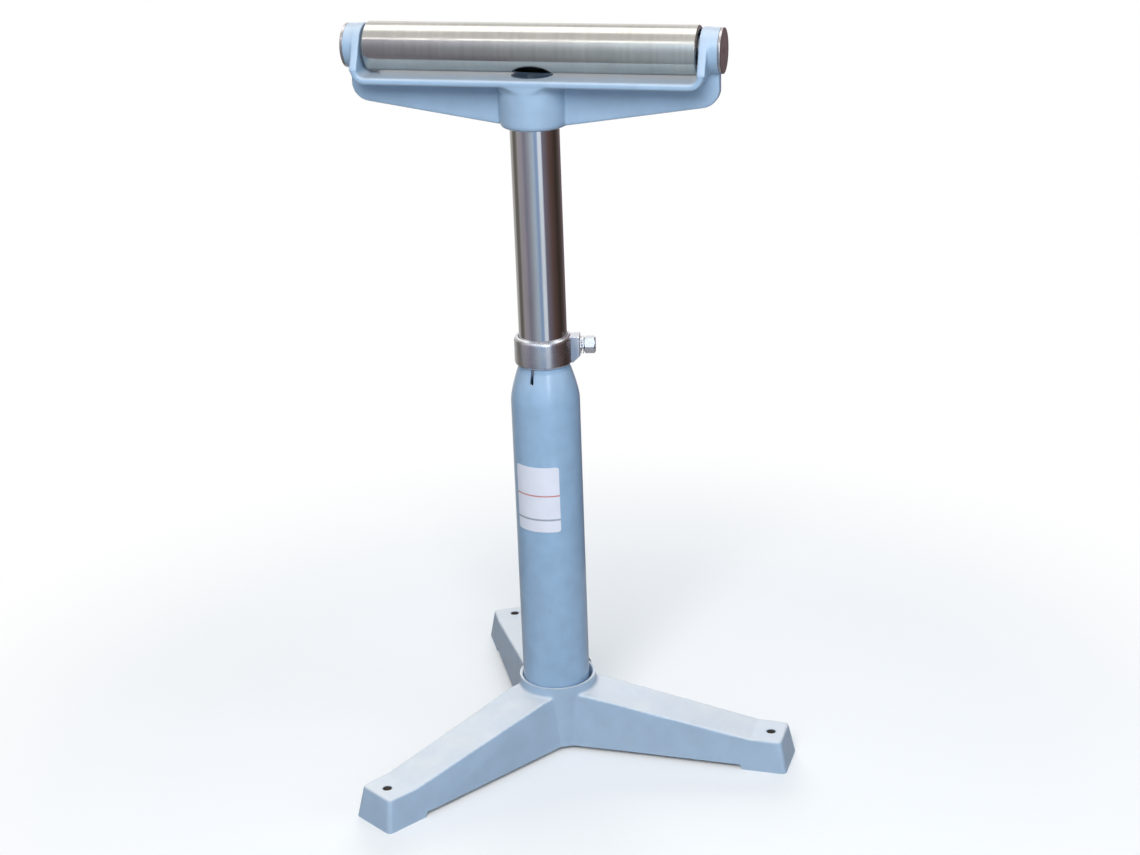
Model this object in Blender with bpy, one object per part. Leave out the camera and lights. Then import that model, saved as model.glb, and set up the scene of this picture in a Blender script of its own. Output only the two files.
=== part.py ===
# Roller stand: cast tripod base, telescoping column with a screw clamp, cast yoke and ball-bearing roller.
# Metres, +Z up, roller along X. The origin is the middle of the footprint, on the floor.
import math

import bmesh
import bpy
from mathutils import Matrix, Vector

mm = 0.001

# Clearances, overruns and fineness
seat_gap = 0.3 * mm
cut_overrun = 2 * mm
merge_distance = 0.001 * mm
sharp_angle = math.radians(24)
column_facets = 36
roller_facets = 32
bore_facets = 28
bearing_facets = 24
fastener_facets = 16
ball_facets = 8
ball_rings = 6
groove_steps = 4
casting_arc_steps = 3
strap_corner_steps = 5
strap_head_steps = 6
strap_edge_steps = 2
web_corner_steps = 5
neck_cone_steps = 4
slit_end_steps = 4

# Base casting
leg_count = 3
leg_turn = math.radians(-2.2)
leg_reach = 277 * mm
foot_half_width = 30 * mm
side_draft = 8 * mm
foot_height = 36.6 * mm
foot_flat_length = 35 * mm
foot_corner_radius = 5 * mm
hub_height = 69 * mm
hub_flat_reach = 44 * mm
pad_height = 5.5 * mm
pad_length = 51 * mm
edge_round = 3 * mm
edge_shoulder_share = 0.3
crotch_radius = 20 * mm
casting_wall = 7 * mm
casting_roof = 8 * mm
foot_hole_diameter = 10 * mm
foot_hole_inset = 24 * mm
collar_height = 12 * mm
collar_diameter = 88 * mm
collar_clearance = 2.3 * mm
collar_offset = 1.9 * mm
collar_edge = 1 * mm
hub_inset = 3 * mm
socket_flare_drop = 10 * mm
socket_wall = 7 * mm
ledge_height = 6 * mm
ledge_width = 4.5 * mm

# Outer tube
tube_diameter = 76.1 * mm
tube_wall = 2.6 * mm
tube_body_length = 409 * mm
neck_cone_length = 37 * mm
neck_straight_length = 32 * mm
neck_wall = 1.9 * mm
neck_curve_power = 1.35
neck_slits = 2
slit_width = 3.6 * mm
slit_length = 45 * mm
slit_turn = math.radians(-95.7)

# Clamp ring and its screw
ring_wall = 3 * mm
ring_height = 27 * mm
ring_bevel = 4.5 * mm
ring_lip_height = 5 * mm
ring_edge = 1 * mm
ring_drop = 28 * mm
clamp_turn = math.radians(12.3)
lug_thickness = 17 * mm
lug_reach = 6.5 * mm
lug_foot_rise = 6 * mm
lug_top_fall = 1.5 * mm
clamp_thread_diameter = 10 * mm
clamp_spanner_size = 17 * mm
clamp_nut_height = 4.6 * mm
clamp_head_height = 13.5 * mm
clamp_chamfer = 1 * mm

# Mast and its foot
mast_diameter = 52.8 * mm
mast_wall = 4 * mm
mast_extension = 229.5 * mm
mast_travel_up = 140 * mm
mast_top_recess = 12 * mm
bush_height = 30 * mm
bush_wall_gap = 0.35 * mm
snap_ring_height = 2 * mm
snap_ring_width = 3 * mm
snap_groove_depth = 1 * mm
snap_ring_opening = math.radians(30)
foot_flange_height = 5 * mm
foot_flange_width = 5 * mm
foot_spigot_length = 18 * mm
foot_spigot_bore = 24 * mm

# Yoke casting
strap_width = 73 * mm
strap_thickness = 8.5 * mm
strap_corner_radius = 8 * mm
yoke_edge_round = 2.5 * mm
boss_diameter = 72 * mm
boss_drop = 45 * mm
boss_chamfer = 5 * mm
boss_round_share = 0.3
web_thickness = 12 * mm
web_end_depth = 23 * mm
web_corner_radius = 22 * mm
web_slope = math.radians(5)
end_boss_diameter = 49 * mm
end_boss_length = 10 * mm
upright_top_share = 0.94
upright_margin = 0.6 * mm
cap_thickness = 3 * mm
cap_spigot_length = 7.5 * mm
cap_edge_round = 0.8 * mm
head_screw_diameter = 8 * mm
head_screw_length = 12 * mm
head_screw_socket = 4 * mm
socket_chamfer = 0.1 * mm

# Base set screw
set_screw_diameter = 8 * mm
set_screw_head_size = 9.5 * mm
set_screw_head_height = 5 * mm
set_screw_chamfer = 0.5 * mm

# Roller and axle
roller_diameter = 51 * mm
roller_length = 355 * mm
roller_bore = 38 * mm
roller_end_chamfer = 1.2 * mm
roller_side_gap = 3 * mm
roller_under_gap = 2.3 * mm
axle_diameter = 20 * mm
axle_chamfer = 1 * mm
bearing_diameter = 42 * mm
bearing_width = 12 * mm
bearing_recess = 4 * mm
bearing_land_share = 0.31
ball_count = 9
ball_diameter = 6.35 * mm
ball_clearance = 0.4 * mm
cage_wall = 2.2 * mm
cage_height = 4.4 * mm
seal_thickness = 0.9 * mm
seal_inset = 0.5 * mm
circlip_thickness = 1.5 * mm
circlip_width = 3.4 * mm
circlip_groove_depth = 1 * mm
circlip_opening = math.radians(40)
spacer_wall = 3.6 * mm

# Places that follow from the sizes
tube_radius = tube_diameter / 2
tube_bore_radius = tube_radius - tube_wall
mast_radius = mast_diameter / 2
mast_bore_radius = mast_radius - mast_wall
neck_bore_radius = mast_radius + seat_gap
neck_radius = neck_bore_radius + neck_wall
tube_foot = pad_height + ledge_height + seat_gap
neck_start = tube_foot + tube_body_length
neck_straight_start = neck_start + neck_cone_length
tube_top = neck_straight_start + neck_straight_length
ring_bore_radius = neck_radius + seat_gap
ring_radius = ring_bore_radius + ring_wall
ring_foot = tube_top - ring_drop
ring_top = ring_foot + ring_height + ring_lip_height
boss_foot = ring_top + mast_extension
strap_underside = boss_foot + boss_drop
strap_top = strap_underside + strap_thickness
roller_radius = roller_diameter / 2
axle_height = strap_top + roller_under_gap + roller_radius
mast_top = strap_top - mast_top_recess
upright_inner = roller_length / 2 + roller_side_gap
upright_outer = upright_inner + strap_thickness
end_boss_face = upright_outer + end_boss_length
bush_top = neck_start - mast_travel_up
mast_foot = bush_top - bush_height - 2 * seat_gap
boss_radius = boss_diameter / 2
collar_radius = collar_diameter / 2
collar_screw_turn = leg_turn + math.pi / leg_count
collar_centre = (collar_offset * math.cos(collar_screw_turn), collar_offset * math.sin(collar_screw_turn), 0)
socket_radius = tube_radius + seat_gap
hub_slope_drop = hub_height - foot_height
top_half_width = foot_half_width - side_draft
foot_flat_start = leg_reach - side_draft - foot_flat_length
axle_radius = axle_diameter / 2
bearing_radius = bearing_diameter / 2
bearing_depth = bearing_radius - axle_radius

# Turns that lay a piece made along Z on its own axis
along_x = (0, math.pi / 2, 0)
facing_back = (0, math.pi / 2, math.pi / 2)


def clear_scene():
    for item in list(bpy.data.objects):
        bpy.data.objects.remove(item, do_unlink=True)


def make_look(name, colour, metallic, roughness):
    look = bpy.data.materials.new(name)
    look.use_nodes = True
    shader = look.node_tree.nodes["Principled BSDF"]
    shader.inputs["Base Color"].default_value = (*colour, 1)
    shader.inputs["Metallic"].default_value = metallic
    shader.inputs["Roughness"].default_value = roughness
    look.diffuse_color = (*colour, 1)
    return look


def add_axis(name, parent=None, location=(0, 0, 0), rotation=(0, 0, 0)):
    axis = bpy.data.objects.new(name, None)
    axis.empty_display_size = axle_diameter
    bpy.context.collection.objects.link(axis)
    axis.parent = parent
    axis.location = location
    axis.rotation_euler = rotation
    return axis


def add_piece(name, shape, look, parent, location=(0, 0, 0), rotation=(0, 0, 0)):
    bmesh.ops.recalc_face_normals(shape, faces=shape.faces)
    mesh = bpy.data.meshes.new(name)
    shape.to_mesh(mesh)
    shape.free()
    mesh.materials.append(look)
    mesh.shade_smooth()
    mesh.set_sharp_from_angle(angle=sharp_angle)
    return add_copy(name, mesh, parent, location, rotation)


def add_copy(name, mesh, parent, location=(0, 0, 0), rotation=(0, 0, 0)):
    piece = bpy.data.objects.new(name, mesh)
    bpy.context.collection.objects.link(piece)
    piece.parent = parent
    piece.location = location
    piece.rotation_euler = rotation
    return piece


def join_tool(piece, tool, operation):
    tool.hide_render = True
    tool.display_type = "WIRE"
    change = piece.modifiers.new(tool.name, "BOOLEAN")
    change.operation = operation
    change.solver = "EXACT"
    change.object = tool


def turned(outline, facets, angle=2 * math.pi, closed=True):
    # Spins an outline of (radius, height) points about Z
    shape = bmesh.new()
    points = [shape.verts.new((radius, 0, height)) for radius, height in outline]
    edges = [shape.edges.new(pair) for pair in zip(points, points[1:])]
    if closed:
        edges.append(shape.edges.new((points[-1], points[0])))
    full = math.isclose(angle, 2 * math.pi)
    spun = bmesh.ops.spin(shape, geom=points + edges, cent=(0, 0, 0), axis=(0, 0, 1), angle=angle,
                          steps=facets, use_merge=full)
    if not full:
        last_edges = [item for item in spun["geom_last"] if isinstance(item, bmesh.types.BMEdge)]
        bmesh.ops.contextual_create(shape, geom=edges)
        bmesh.ops.contextual_create(shape, geom=last_edges)
    bmesh.ops.remove_doubles(shape, verts=shape.verts, dist=merge_distance)
    return shape


def tube_outline(inner, outer, low, high, chamfer=0):
    if not chamfer:
        return [(outer, high), (outer, low), (inner, low), (inner, high)]
    return [(outer - chamfer, high), (outer, high - chamfer), (outer, low + chamfer), (outer - chamfer, low),
            (inner, low), (inner, high)]


def rod(radius, low, high, facets, chamfer=0):
    # A solid bar along Z; its outline runs from axis to axis, so the ends close on themselves
    outline = [(0, high), (radius - chamfer, high), (radius, high - chamfer), (radius, low + chamfer),
               (radius - chamfer, low), (0, low)]
    if not chamfer:
        outline = [(0, high), (radius, high), (radius, low), (0, low)]
    return turned(outline, facets, closed=False)


def arc_points(centre, radius, start, end, steps):
    return [(centre[0] + radius * math.cos(angle), centre[1] + radius * math.sin(angle))
            for angle in spread(start, end, steps)]


def spread(start, end, steps):
    return [start + (end - start) * step / steps for step in range(steps + 1)]


def extruded(outline, thickness, plane):
    # A flat outline given a thickness, half to each side of its plane
    shape = bmesh.new()
    half = thickness / 2
    place = {"XZ": lambda a, b: (a, -half, b), "YZ": lambda a, b: (-half, a, b)}[plane]
    offset = {"XZ": (0, thickness, 0), "YZ": (thickness, 0, 0)}[plane]
    face = shape.faces.new([shape.verts.new(place(a, b)) for a, b in outline])
    grown = bmesh.ops.extrude_face_region(shape, geom=[face])
    moved = [item for item in grown["geom"] if isinstance(item, bmesh.types.BMVert)]
    bmesh.ops.translate(shape, verts=moved, vec=offset)
    return shape


def hexagon(spanner_size, height, chamfer):
    shape = bmesh.new()
    corner_radius = spanner_size / math.sqrt(3)
    bmesh.ops.create_cone(shape, cap_ends=True, segments=6, radius1=corner_radius, radius2=corner_radius,
                          depth=height)
    rims = [edge for edge in shape.edges if abs(edge.verts[0].co.z - edge.verts[1].co.z) < merge_distance]
    bmesh.ops.bevel(shape, geom=rims, offset=chamfer, segments=1, profile=0.5, affect="EDGES")
    return shape


# Base casting

def leg_top(along):
    # Height of a leg's top: flat hub, straight slope, flat foot
    slope_share = (along - hub_flat_reach) / (foot_flat_start - hub_flat_reach)
    return hub_height - hub_slope_drop * min(max(slope_share, 0), 1)


def tripod_plan(half_width, reach, hub_radius, crotch, corner, hub_steps=1):
    # Plan outline of the three legs, with rounded feet and hollow corners between the legs
    blend_x = math.sqrt((hub_radius + crotch) ** 2 - (half_width + crotch) ** 2)
    blend_centre = Vector((blend_x, half_width + crotch))
    hub_touch = math.atan2(blend_centre.y, blend_centre.x)
    half_sector = math.pi / leg_count
    side = arc_points((reach - corner, half_width - corner), corner, 0, math.pi / 2, casting_arc_steps)
    side += arc_points(blend_centre, crotch, -math.pi / 2, hub_touch - math.pi, casting_arc_steps)
    side += arc_points((0, 0), hub_radius, hub_touch, half_sector, hub_steps)[1:]
    mirrored = [(x, -y) for x, y in reversed(side)][1:]
    points = []
    for leg in range(leg_count):
        turn = Matrix.Rotation(2 * leg * half_sector, 2)
        points += [turn @ Vector(point) for point in mirrored + side]
    return points


def add_ring(shape, plan, level):
    ring = [shape.verts.new((point.x, point.y, level)) for point in plan]
    return [shape.edges.new((ring[i], ring[(i + 1) % len(ring)])) for i in range(len(ring))]


def tripod_shell(levels, top_shift, hub_reach):
    # A drafted tripod block: plans at levels from 0 (foot) to 1 (top), then bent to the legs' slope
    shape = bmesh.new()
    rings = [add_ring(shape, plan, level) for plan, level in levels]
    for lower, upper in zip(rings, rings[1:]):
        bmesh.ops.bridge_loops(shape, edges=lower + upper)
    for ring in (rings[0], rings[-1]):
        bmesh.ops.contextual_create(shape, geom=ring)
    directions = [Vector((math.cos(angle), math.sin(angle), 0))
                  for angle in (2 * math.pi * leg / leg_count for leg in range(leg_count))]
    for direction in directions:
        for reach in (hub_reach, foot_flat_start):
            bmesh.ops.bisect_plane(shape, geom=shape.verts[:] + shape.edges[:] + shape.faces[:],
                                   dist=merge_distance, plane_co=direction * reach, plane_no=direction)
    for vert in shape.verts:
        along = max(vert.co.xy.dot(direction.xy) for direction in directions)
        vert.co.z *= leg_top(along) + top_shift
    bmesh.ops.triangulate(shape, faces=[face for face in shape.faces if len(face.verts) > 4])
    return shape


def make_base(root, iron):
    # The hub's own plan lies just inside the collar and the socket's wall, which round it off.
    # The set screw pushes the tube over in its collar, so the collar is off the tube's axis.
    hub_radius = collar_radius - hub_inset
    foot_plan = tripod_plan(foot_half_width, leg_reach, hub_radius, crotch_radius, foot_corner_radius)
    outer_plans = [(foot_plan, 0)]
    for inset_share, drop_share in ((0, 1), (edge_shoulder_share, edge_shoulder_share), (1, 0)):
        inset = edge_round * inset_share
        plan = tripod_plan(top_half_width - inset, leg_reach - side_draft - inset, hub_radius - inset,
                           crotch_radius + inset, foot_corner_radius - inset)
        outer_plans.append((plan, 1 - edge_round * drop_share / foot_height))
    base = add_piece("base_casting", tripod_shell(outer_plans, 0, hub_flat_reach), iron, root,
                     rotation=(0, 0, leg_turn))
    inner_reach = leg_reach - pad_length - casting_wall
    inner_plans = [
        (tripod_plan(foot_half_width - casting_wall, inner_reach, collar_radius - casting_wall / 2,
                     crotch_radius + casting_wall, foot_corner_radius), -cut_overrun / foot_height),
        (tripod_plan(top_half_width - casting_wall, inner_reach - casting_wall / 2,
                     collar_radius - casting_wall / 2 - side_draft, crotch_radius + casting_wall,
                     foot_corner_radius), 1),
    ]
    hollow = add_piece("cut_base_hollow", tripod_shell(inner_plans, -casting_roof, hub_flat_reach), iron,
                       root, rotation=(0, 0, leg_turn))
    join_tool(base, hollow, "DIFFERENCE")
    collar = add_piece("fuse_collar", turned([
        (0, hub_height + collar_height),
        (collar_radius - collar_edge, hub_height + collar_height),
        (collar_radius, hub_height + collar_height - collar_edge),
        (collar_radius, hub_height - edge_round),
        (socket_radius + socket_wall, hub_height - socket_flare_drop),
        (socket_radius + socket_wall, pad_height / 2),
        (0, pad_height / 2)], column_facets, closed=False), iron, root, collar_centre)
    join_tool(base, collar, "UNION")
    # The legs' undersides stand clear of the floor between the foot pads
    relief = bmesh.new()
    corner_reach = (leg_reach - pad_length) / math.cos(math.pi / leg_count)
    bmesh.ops.create_cone(relief, cap_ends=True, segments=leg_count, radius1=corner_reach,
                          radius2=corner_reach, depth=2 * pad_height)
    relief_tool = add_piece("cut_foot_relief", relief, iron, root,
                            rotation=(0, 0, leg_turn + math.pi / leg_count - math.pi / 2))
    join_tool(base, relief_tool, "DIFFERENCE")
    for leg in range(leg_count):
        turn = leg_turn + 2 * math.pi * leg / leg_count
        reach = leg_reach - foot_hole_inset
        hole = add_piece("cut_foot_hole_%d" % (leg + 1), rod(
            foot_hole_diameter / 2, -cut_overrun, foot_height + cut_overrun, fastener_facets), iron, root,
            (reach * math.cos(turn), reach * math.sin(turn), 0))
        join_tool(base, hole, "DIFFERENCE")
    clearance = rod(tube_radius + collar_clearance, hub_height - casting_roof,
                    hub_height + collar_height + cut_overrun, column_facets)
    join_tool(base, add_piece("cut_collar_clearance", clearance, iron, root, collar_centre), "DIFFERENCE")
    bore = add_piece("cut_tube_socket", turned([
        (0, hub_height),
        (socket_radius, hub_height),
        (socket_radius, pad_height + ledge_height),
        (tube_bore_radius - ledge_width, pad_height + ledge_height),
        (tube_bore_radius - ledge_width, -cut_overrun),
        (0, -cut_overrun)], column_facets, closed=False), iron, root)
    join_tool(base, bore, "DIFFERENCE")
    return base


# Outer tube, clamp ring and clamp screw

def add_base_screw(root, base, steel):
    # Set screw through the collar, between two legs
    screw_axis = add_axis("collar_screw_axis", root, (0, 0, hub_height + collar_height / 2),
                          (0, math.pi / 2, collar_screw_turn))
    screw_radius = set_screw_diameter / 2
    tip = tube_radius + seat_gap
    collar_face = collar_radius + collar_offset
    hole = rod(screw_radius + seat_gap, tip, collar_face + cut_overrun, fastener_facets)
    join_tool(base, add_piece("cut_set_screw", hole, steel, screw_axis), "DIFFERENCE")
    head_middle = collar_face + seat_gap + set_screw_head_height / 2
    shank = rod(screw_radius, tip, head_middle, fastener_facets)
    screw = add_piece("collar_set_screw", shank, steel, screw_axis)
    head = hexagon(set_screw_head_size, set_screw_head_height, set_screw_chamfer)
    head_tool = add_piece("fuse_set_screw_head", head, steel, screw_axis, (0, 0, head_middle))
    join_tool(screw, head_tool, "UNION")


def make_outer_tube(root, paint):
    wall_shift = (tube_wall + neck_wall) / 2
    outside = [(tube_radius, tube_foot), (tube_radius, neck_start)]
    # A swaged neck leaves the tube in a round shoulder and runs out straight
    for share in spread(0, 1, neck_cone_steps)[1:]:
        radius = tube_radius - (tube_radius - neck_radius) * share ** neck_curve_power
        outside.append((radius, neck_start + neck_cone_length * share))
    outside.append((neck_radius, tube_top))
    inside = [(tube_bore_radius, tube_foot), (tube_bore_radius, neck_start - wall_shift)]
    for share in spread(0, 1, neck_cone_steps)[1:]:
        radius = tube_bore_radius - (tube_bore_radius - neck_bore_radius) * share ** neck_curve_power
        inside.append((radius, neck_start + neck_cone_length * share - wall_shift / 2))
    inside.append((neck_bore_radius, tube_top))
    tube = add_piece("outer_tube", turned(outside[::-1] + inside, column_facets), paint, root)
    for slit in range(neck_slits):
        turn = slit_turn + 2 * math.pi * slit / neck_slits
        foot = tube_top - slit_length
        half_slit = slit_width / 2
        shape = extruded(arc_points((0, foot + half_slit), half_slit, math.pi, 2 * math.pi, slit_end_steps)
                         + [(half_slit, tube_top + cut_overrun), (-half_slit, tube_top + cut_overrun)],
                         tube_radius + 2 * cut_overrun, "YZ")
        bmesh.ops.translate(shape, verts=shape.verts, vec=(tube_radius, 0, 0))
        join_tool(tube, add_piece("cut_neck_slit_%d" % (slit + 1), shape, paint, root, rotation=(0, 0, turn)),
                  "DIFFERENCE")


def make_clamp(root, zinc, screw_axis):
    clamp_height = ring_top - ring_bevel - clamp_spanner_size / 2
    ring = add_piece("clamp_ring", turned([
        (0, ring_top),
        (ring_radius - ring_bevel, ring_top),
        (ring_radius, ring_top - ring_bevel),
        (ring_radius, ring_foot + ring_edge),
        (ring_radius - ring_edge, ring_foot),
        (0, ring_foot)], column_facets, closed=False), zinc, root)
    lug_end = ring_radius + lug_reach
    lug = extruded([(mast_radius, ring_foot + ring_edge), (ring_radius, ring_foot + ring_edge),
                    (lug_end, ring_foot + lug_foot_rise), (lug_end, ring_top - lug_top_fall),
                    (mast_radius, ring_top - lug_top_fall)], lug_thickness, "XZ")
    bmesh.ops.bevel(lug, geom=lug.edges, offset=ring_edge, segments=1, profile=0.5, affect="EDGES")
    lug_tool = add_piece("fuse_clamp_lug", lug, zinc, root, rotation=(0, 0, clamp_turn))
    join_tool(ring, lug_tool, "UNION")
    bore = add_piece("cut_clamp_bore", turned([
        (0, ring_top + cut_overrun),
        (neck_bore_radius + seat_gap, ring_top + cut_overrun),
        (neck_bore_radius + seat_gap, tube_top + seat_gap),
        (ring_bore_radius, tube_top + seat_gap),
        (ring_bore_radius, ring_foot - cut_overrun),
        (0, ring_foot - cut_overrun)], column_facets, closed=False), zinc, root)
    join_tool(ring, bore, "DIFFERENCE")
    direction = Vector((math.cos(clamp_turn), math.sin(clamp_turn), 0))
    along = (0, math.pi / 2, clamp_turn)
    thread = clamp_thread_diameter / 2
    centre = Vector((0, 0, clamp_height))
    hole = rod(thread + seat_gap, mast_radius, lug_end + cut_overrun, fastener_facets)
    join_tool(ring, add_piece("cut_clamp_thread", hole, zinc, root, centre, along), "DIFFERENCE")
    nut_start = lug_end + seat_gap
    nut = add_piece("clamp_locknut", hexagon(clamp_spanner_size, clamp_nut_height, clamp_chamfer), zinc, root,
                    centre + direction * (nut_start + clamp_nut_height / 2), along)
    nut_bore = rod(thread + seat_gap, -clamp_nut_height, clamp_nut_height, fastener_facets)
    join_tool(nut, add_piece("cut_locknut_bore", nut_bore, zinc, root, nut.location, along), "DIFFERENCE")
    head_start = nut_start + clamp_nut_height + seat_gap
    screw_axis.location = centre
    screw_axis.rotation_euler = along
    screw = add_piece("clamp_screw", rod(thread, neck_radius + seat_gap, head_start + clamp_head_height / 2,
                                         fastener_facets, clamp_chamfer), zinc, screw_axis)
    head = add_piece("fuse_clamp_head", hexagon(clamp_spanner_size, clamp_head_height, clamp_chamfer), zinc,
                     screw_axis, (0, 0, head_start + clamp_head_height / 2))
    join_tool(screw, head, "UNION")


# Mast and its foot

def make_mast(mast_axis, bush_axis, chrome, steel, plastic):
    groove_radius = mast_radius - snap_groove_depth
    groove_low = bush_top + seat_gap
    groove_high = groove_low + snap_ring_height + 2 * seat_gap
    add_piece("mast_tube", turned([
        (mast_radius, mast_top), (mast_radius, groove_high), (groove_radius, groove_high),
        (groove_radius, groove_low), (mast_radius, groove_low), (mast_radius, mast_foot),
        (mast_bore_radius, mast_foot), (mast_bore_radius, mast_top)], column_facets), chrome, mast_axis)
    add_piece("mast_snap_ring", turned(tube_outline(
        groove_radius + seat_gap, groove_radius + seat_gap + snap_ring_width, groove_low + seat_gap,
        groove_low + seat_gap + snap_ring_height), column_facets, 2 * math.pi - snap_ring_opening), steel,
        mast_axis)
    flange_top = mast_foot - seat_gap
    add_piece("mast_foot_flange", turned([
        (mast_bore_radius - seat_gap, flange_top + foot_spigot_length),
        (mast_bore_radius - seat_gap, flange_top),
        (mast_radius + foot_flange_width, flange_top),
        (mast_radius + foot_flange_width, flange_top - foot_flange_height),
        (foot_spigot_bore / 2, flange_top - foot_flange_height),
        (foot_spigot_bore / 2, flange_top + foot_spigot_length)], column_facets), steel, mast_axis)
    add_piece("guide_bush", turned(tube_outline(
        mast_radius + seat_gap, tube_bore_radius - bush_wall_gap, bush_top - bush_height, bush_top),
        column_facets), plastic, bush_axis)


# Yoke casting

def upright_stations(head_radius):
    # (height above the axle, half width) up one upright: straight taper, then round the end boss
    drop = axle_height - strap_top - strap_corner_radius
    half_width = strap_width / 2
    touch = math.acos(head_radius / math.hypot(half_width, drop)) - math.atan2(drop, half_width)
    stations = [(-drop, half_width)]
    for angle in spread(touch, math.pi / 2 * upright_top_share, strap_head_steps):
        stations.append((head_radius * math.sin(angle), head_radius * math.cos(angle)))
    return stations


def strap_stations():
    # (inner point, outward direction, half width) along the U from one upright's head to the other
    corner_centre = Vector((upright_inner - strap_corner_radius, strap_top + strap_corner_radius))
    right = []
    for angle in spread(-math.pi / 2, 0, strap_corner_steps):
        outward = Vector((math.cos(angle), math.sin(angle)))
        right.append((corner_centre + outward * strap_corner_radius, outward, strap_width / 2))
    for rise, half_width in upright_stations(end_boss_diameter / 2 + upright_margin)[1:]:
        right.append((Vector((upright_inner, axle_height + rise)), Vector((1, 0)), half_width))
    left = [(Vector((-point.x, point.y)), Vector((-outward.x, outward.y)), half_width)
            for point, outward, half_width in reversed(right)]
    return left + right


def make_strap():
    shape = bmesh.new()
    rings = []
    for point, outward, half_width in strap_stations():
        corners = rounded_corners(half_width, strap_thickness, min(yoke_edge_round, half_width / 2))
        ring = []
        for side, depth in corners:
            place = point + outward * depth
            ring.append(shape.verts.new((place.x, side, place.y)))
        rings.append([shape.edges.new((ring[i], ring[(i + 1) % len(ring)])) for i in range(len(ring))])
    for ring, following in zip(rings, rings[1:]):
        bmesh.ops.bridge_loops(shape, edges=ring + following)
    for ring in (rings[0], rings[-1]):
        bmesh.ops.contextual_create(shape, geom=ring)
    return shape


def rounded_corners(half_width, thickness, radius):
    # (side, depth) points of a flat bar's section with rounded edges
    points = []
    quarter = math.pi / 2
    for turn, side, depth in ((0, half_width, thickness), (1, -half_width, thickness), (2, -half_width, 0),
                              (3, half_width, 0)):
        centre = (side - math.copysign(radius, side), radius if depth == 0 else depth - radius)
        points += arc_points(centre, radius, turn * quarter, (turn + 1) * quarter, strap_edge_steps)
    return points


def make_yoke(mast_axis, iron):
    end_radius = end_boss_diameter / 2
    yoke = add_piece("head_yoke", make_strap(), iron, mast_axis)
    for side in (-1, 1):
        end_boss = rod(end_radius, upright_inner + strap_thickness / 2, end_boss_face, roller_facets,
                       axle_chamfer)
        join_tool(yoke, add_piece("fuse_end_boss_%d" % (side + 2), end_boss, iron, mast_axis,
                                  (0, 0, axle_height), (0, side * math.pi / 2, 0)), "UNION")
    boss = add_piece("fuse_mast_boss", turned([
        (0, strap_underside + strap_thickness / 2),
        (boss_radius, strap_underside + strap_thickness / 2),
        (boss_radius, boss_foot + boss_chamfer),
        (boss_radius - boss_chamfer * boss_round_share, boss_foot + boss_chamfer * boss_round_share),
        (boss_radius - boss_chamfer, boss_foot),
        (0, boss_foot)], column_facets, closed=False), iron, mast_axis)
    join_tool(yoke, boss, "UNION")
    web_reach = end_boss_face - axle_chamfer
    web_low = strap_underside - web_end_depth
    half = [(0, boss_foot + boss_chamfer / 2), (boss_radius, boss_foot + boss_chamfer / 2)]
    half += arc_points((web_reach - web_corner_radius, web_low + web_corner_radius), web_corner_radius,
                       -math.pi / 2 + web_slope, 0, web_corner_steps)
    half += [(web_reach, axle_height)]
    inner = [(upright_outer - strap_thickness / 2, axle_height),
             (upright_outer - strap_thickness / 2, strap_underside + strap_thickness / 2)]
    outline = half + inner
    outline += [(-x, z) for x, z in reversed(half[1:] + inner)]
    web = extruded(outline, web_thickness, "XZ")
    join_tool(yoke, add_piece("fuse_web", web, iron, mast_axis), "UNION")
    bore = rod(mast_radius + seat_gap, boss_foot - cut_overrun, strap_top + cut_overrun, column_facets)
    join_tool(yoke, add_piece("cut_mast_bore", bore, iron, mast_axis), "DIFFERENCE")
    screw_hole = rod(head_screw_diameter / 2 + seat_gap, mast_radius, boss_radius + cut_overrun,
                     fastener_facets)
    join_tool(yoke, add_piece("cut_head_screw", screw_hole, iron, mast_axis,
                              (0, 0, boss_foot + boss_drop / 2), facing_back), "DIFFERENCE")
    axle_bore = rod(axle_radius + seat_gap, -end_boss_face - cut_overrun, end_boss_face + cut_overrun,
                    bore_facets)
    join_tool(yoke, add_piece("cut_axle_bore", axle_bore, iron, mast_axis, (0, 0, axle_height), along_x),
              "DIFFERENCE")


def add_head_screw(mast_axis, steel):
    # Socket set screw in the back of the mast boss
    level = boss_foot + boss_drop / 2
    tip = mast_radius + seat_gap
    shank = rod(head_screw_diameter / 2, tip, tip + head_screw_length, fastener_facets, set_screw_chamfer)
    screw = add_piece("head_set_screw", shank, steel, mast_axis, (0, 0, level), facing_back)
    socket = hexagon(head_screw_socket, head_screw_socket, socket_chamfer)
    join_tool(screw, add_piece("cut_head_screw_socket", socket, steel, mast_axis,
                               (0, tip + head_screw_length, level), facing_back), "DIFFERENCE")


# Roller, bearings and axle

def make_axle(axle_axis, steel):
    half_axle = end_boss_face - cap_spigot_length - seat_gap
    add_piece("axle", rod(axle_radius, -half_axle, half_axle, bearing_facets, axle_chamfer), steel, axle_axis)
    cap_radius = end_boss_diameter / 2
    cap_back = end_boss_face + seat_gap
    cap_face = cap_back + cap_thickness
    spigot_end = end_boss_face - cap_spigot_length
    cap = turned([(0, cap_face), (cap_radius - cap_edge_round, cap_face),
                  (cap_radius, cap_face - cap_edge_round), (cap_radius, cap_back), (axle_radius, cap_back),
                  (axle_radius, spigot_end), (0, spigot_end)], roller_facets, closed=False)
    spacer_start = roller_length / 2 - bearing_recess + seat_gap
    spacer = turned(tube_outline(axle_radius + seat_gap, axle_radius + seat_gap + spacer_wall, spacer_start,
                                 upright_inner - seat_gap), bearing_facets)
    add_pair("axle_cap", cap, steel, axle_axis)
    add_pair("axle_spacer", spacer, steel, axle_axis)


def add_pair(name, shape, look, axis):
    # The right piece lies at +X, the left one is the same mesh turned about
    right = add_piece(name + "_right", shape, look, axis)
    add_copy(name + "_left", right.data, axis, rotation=(math.pi, 0, 0))


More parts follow.
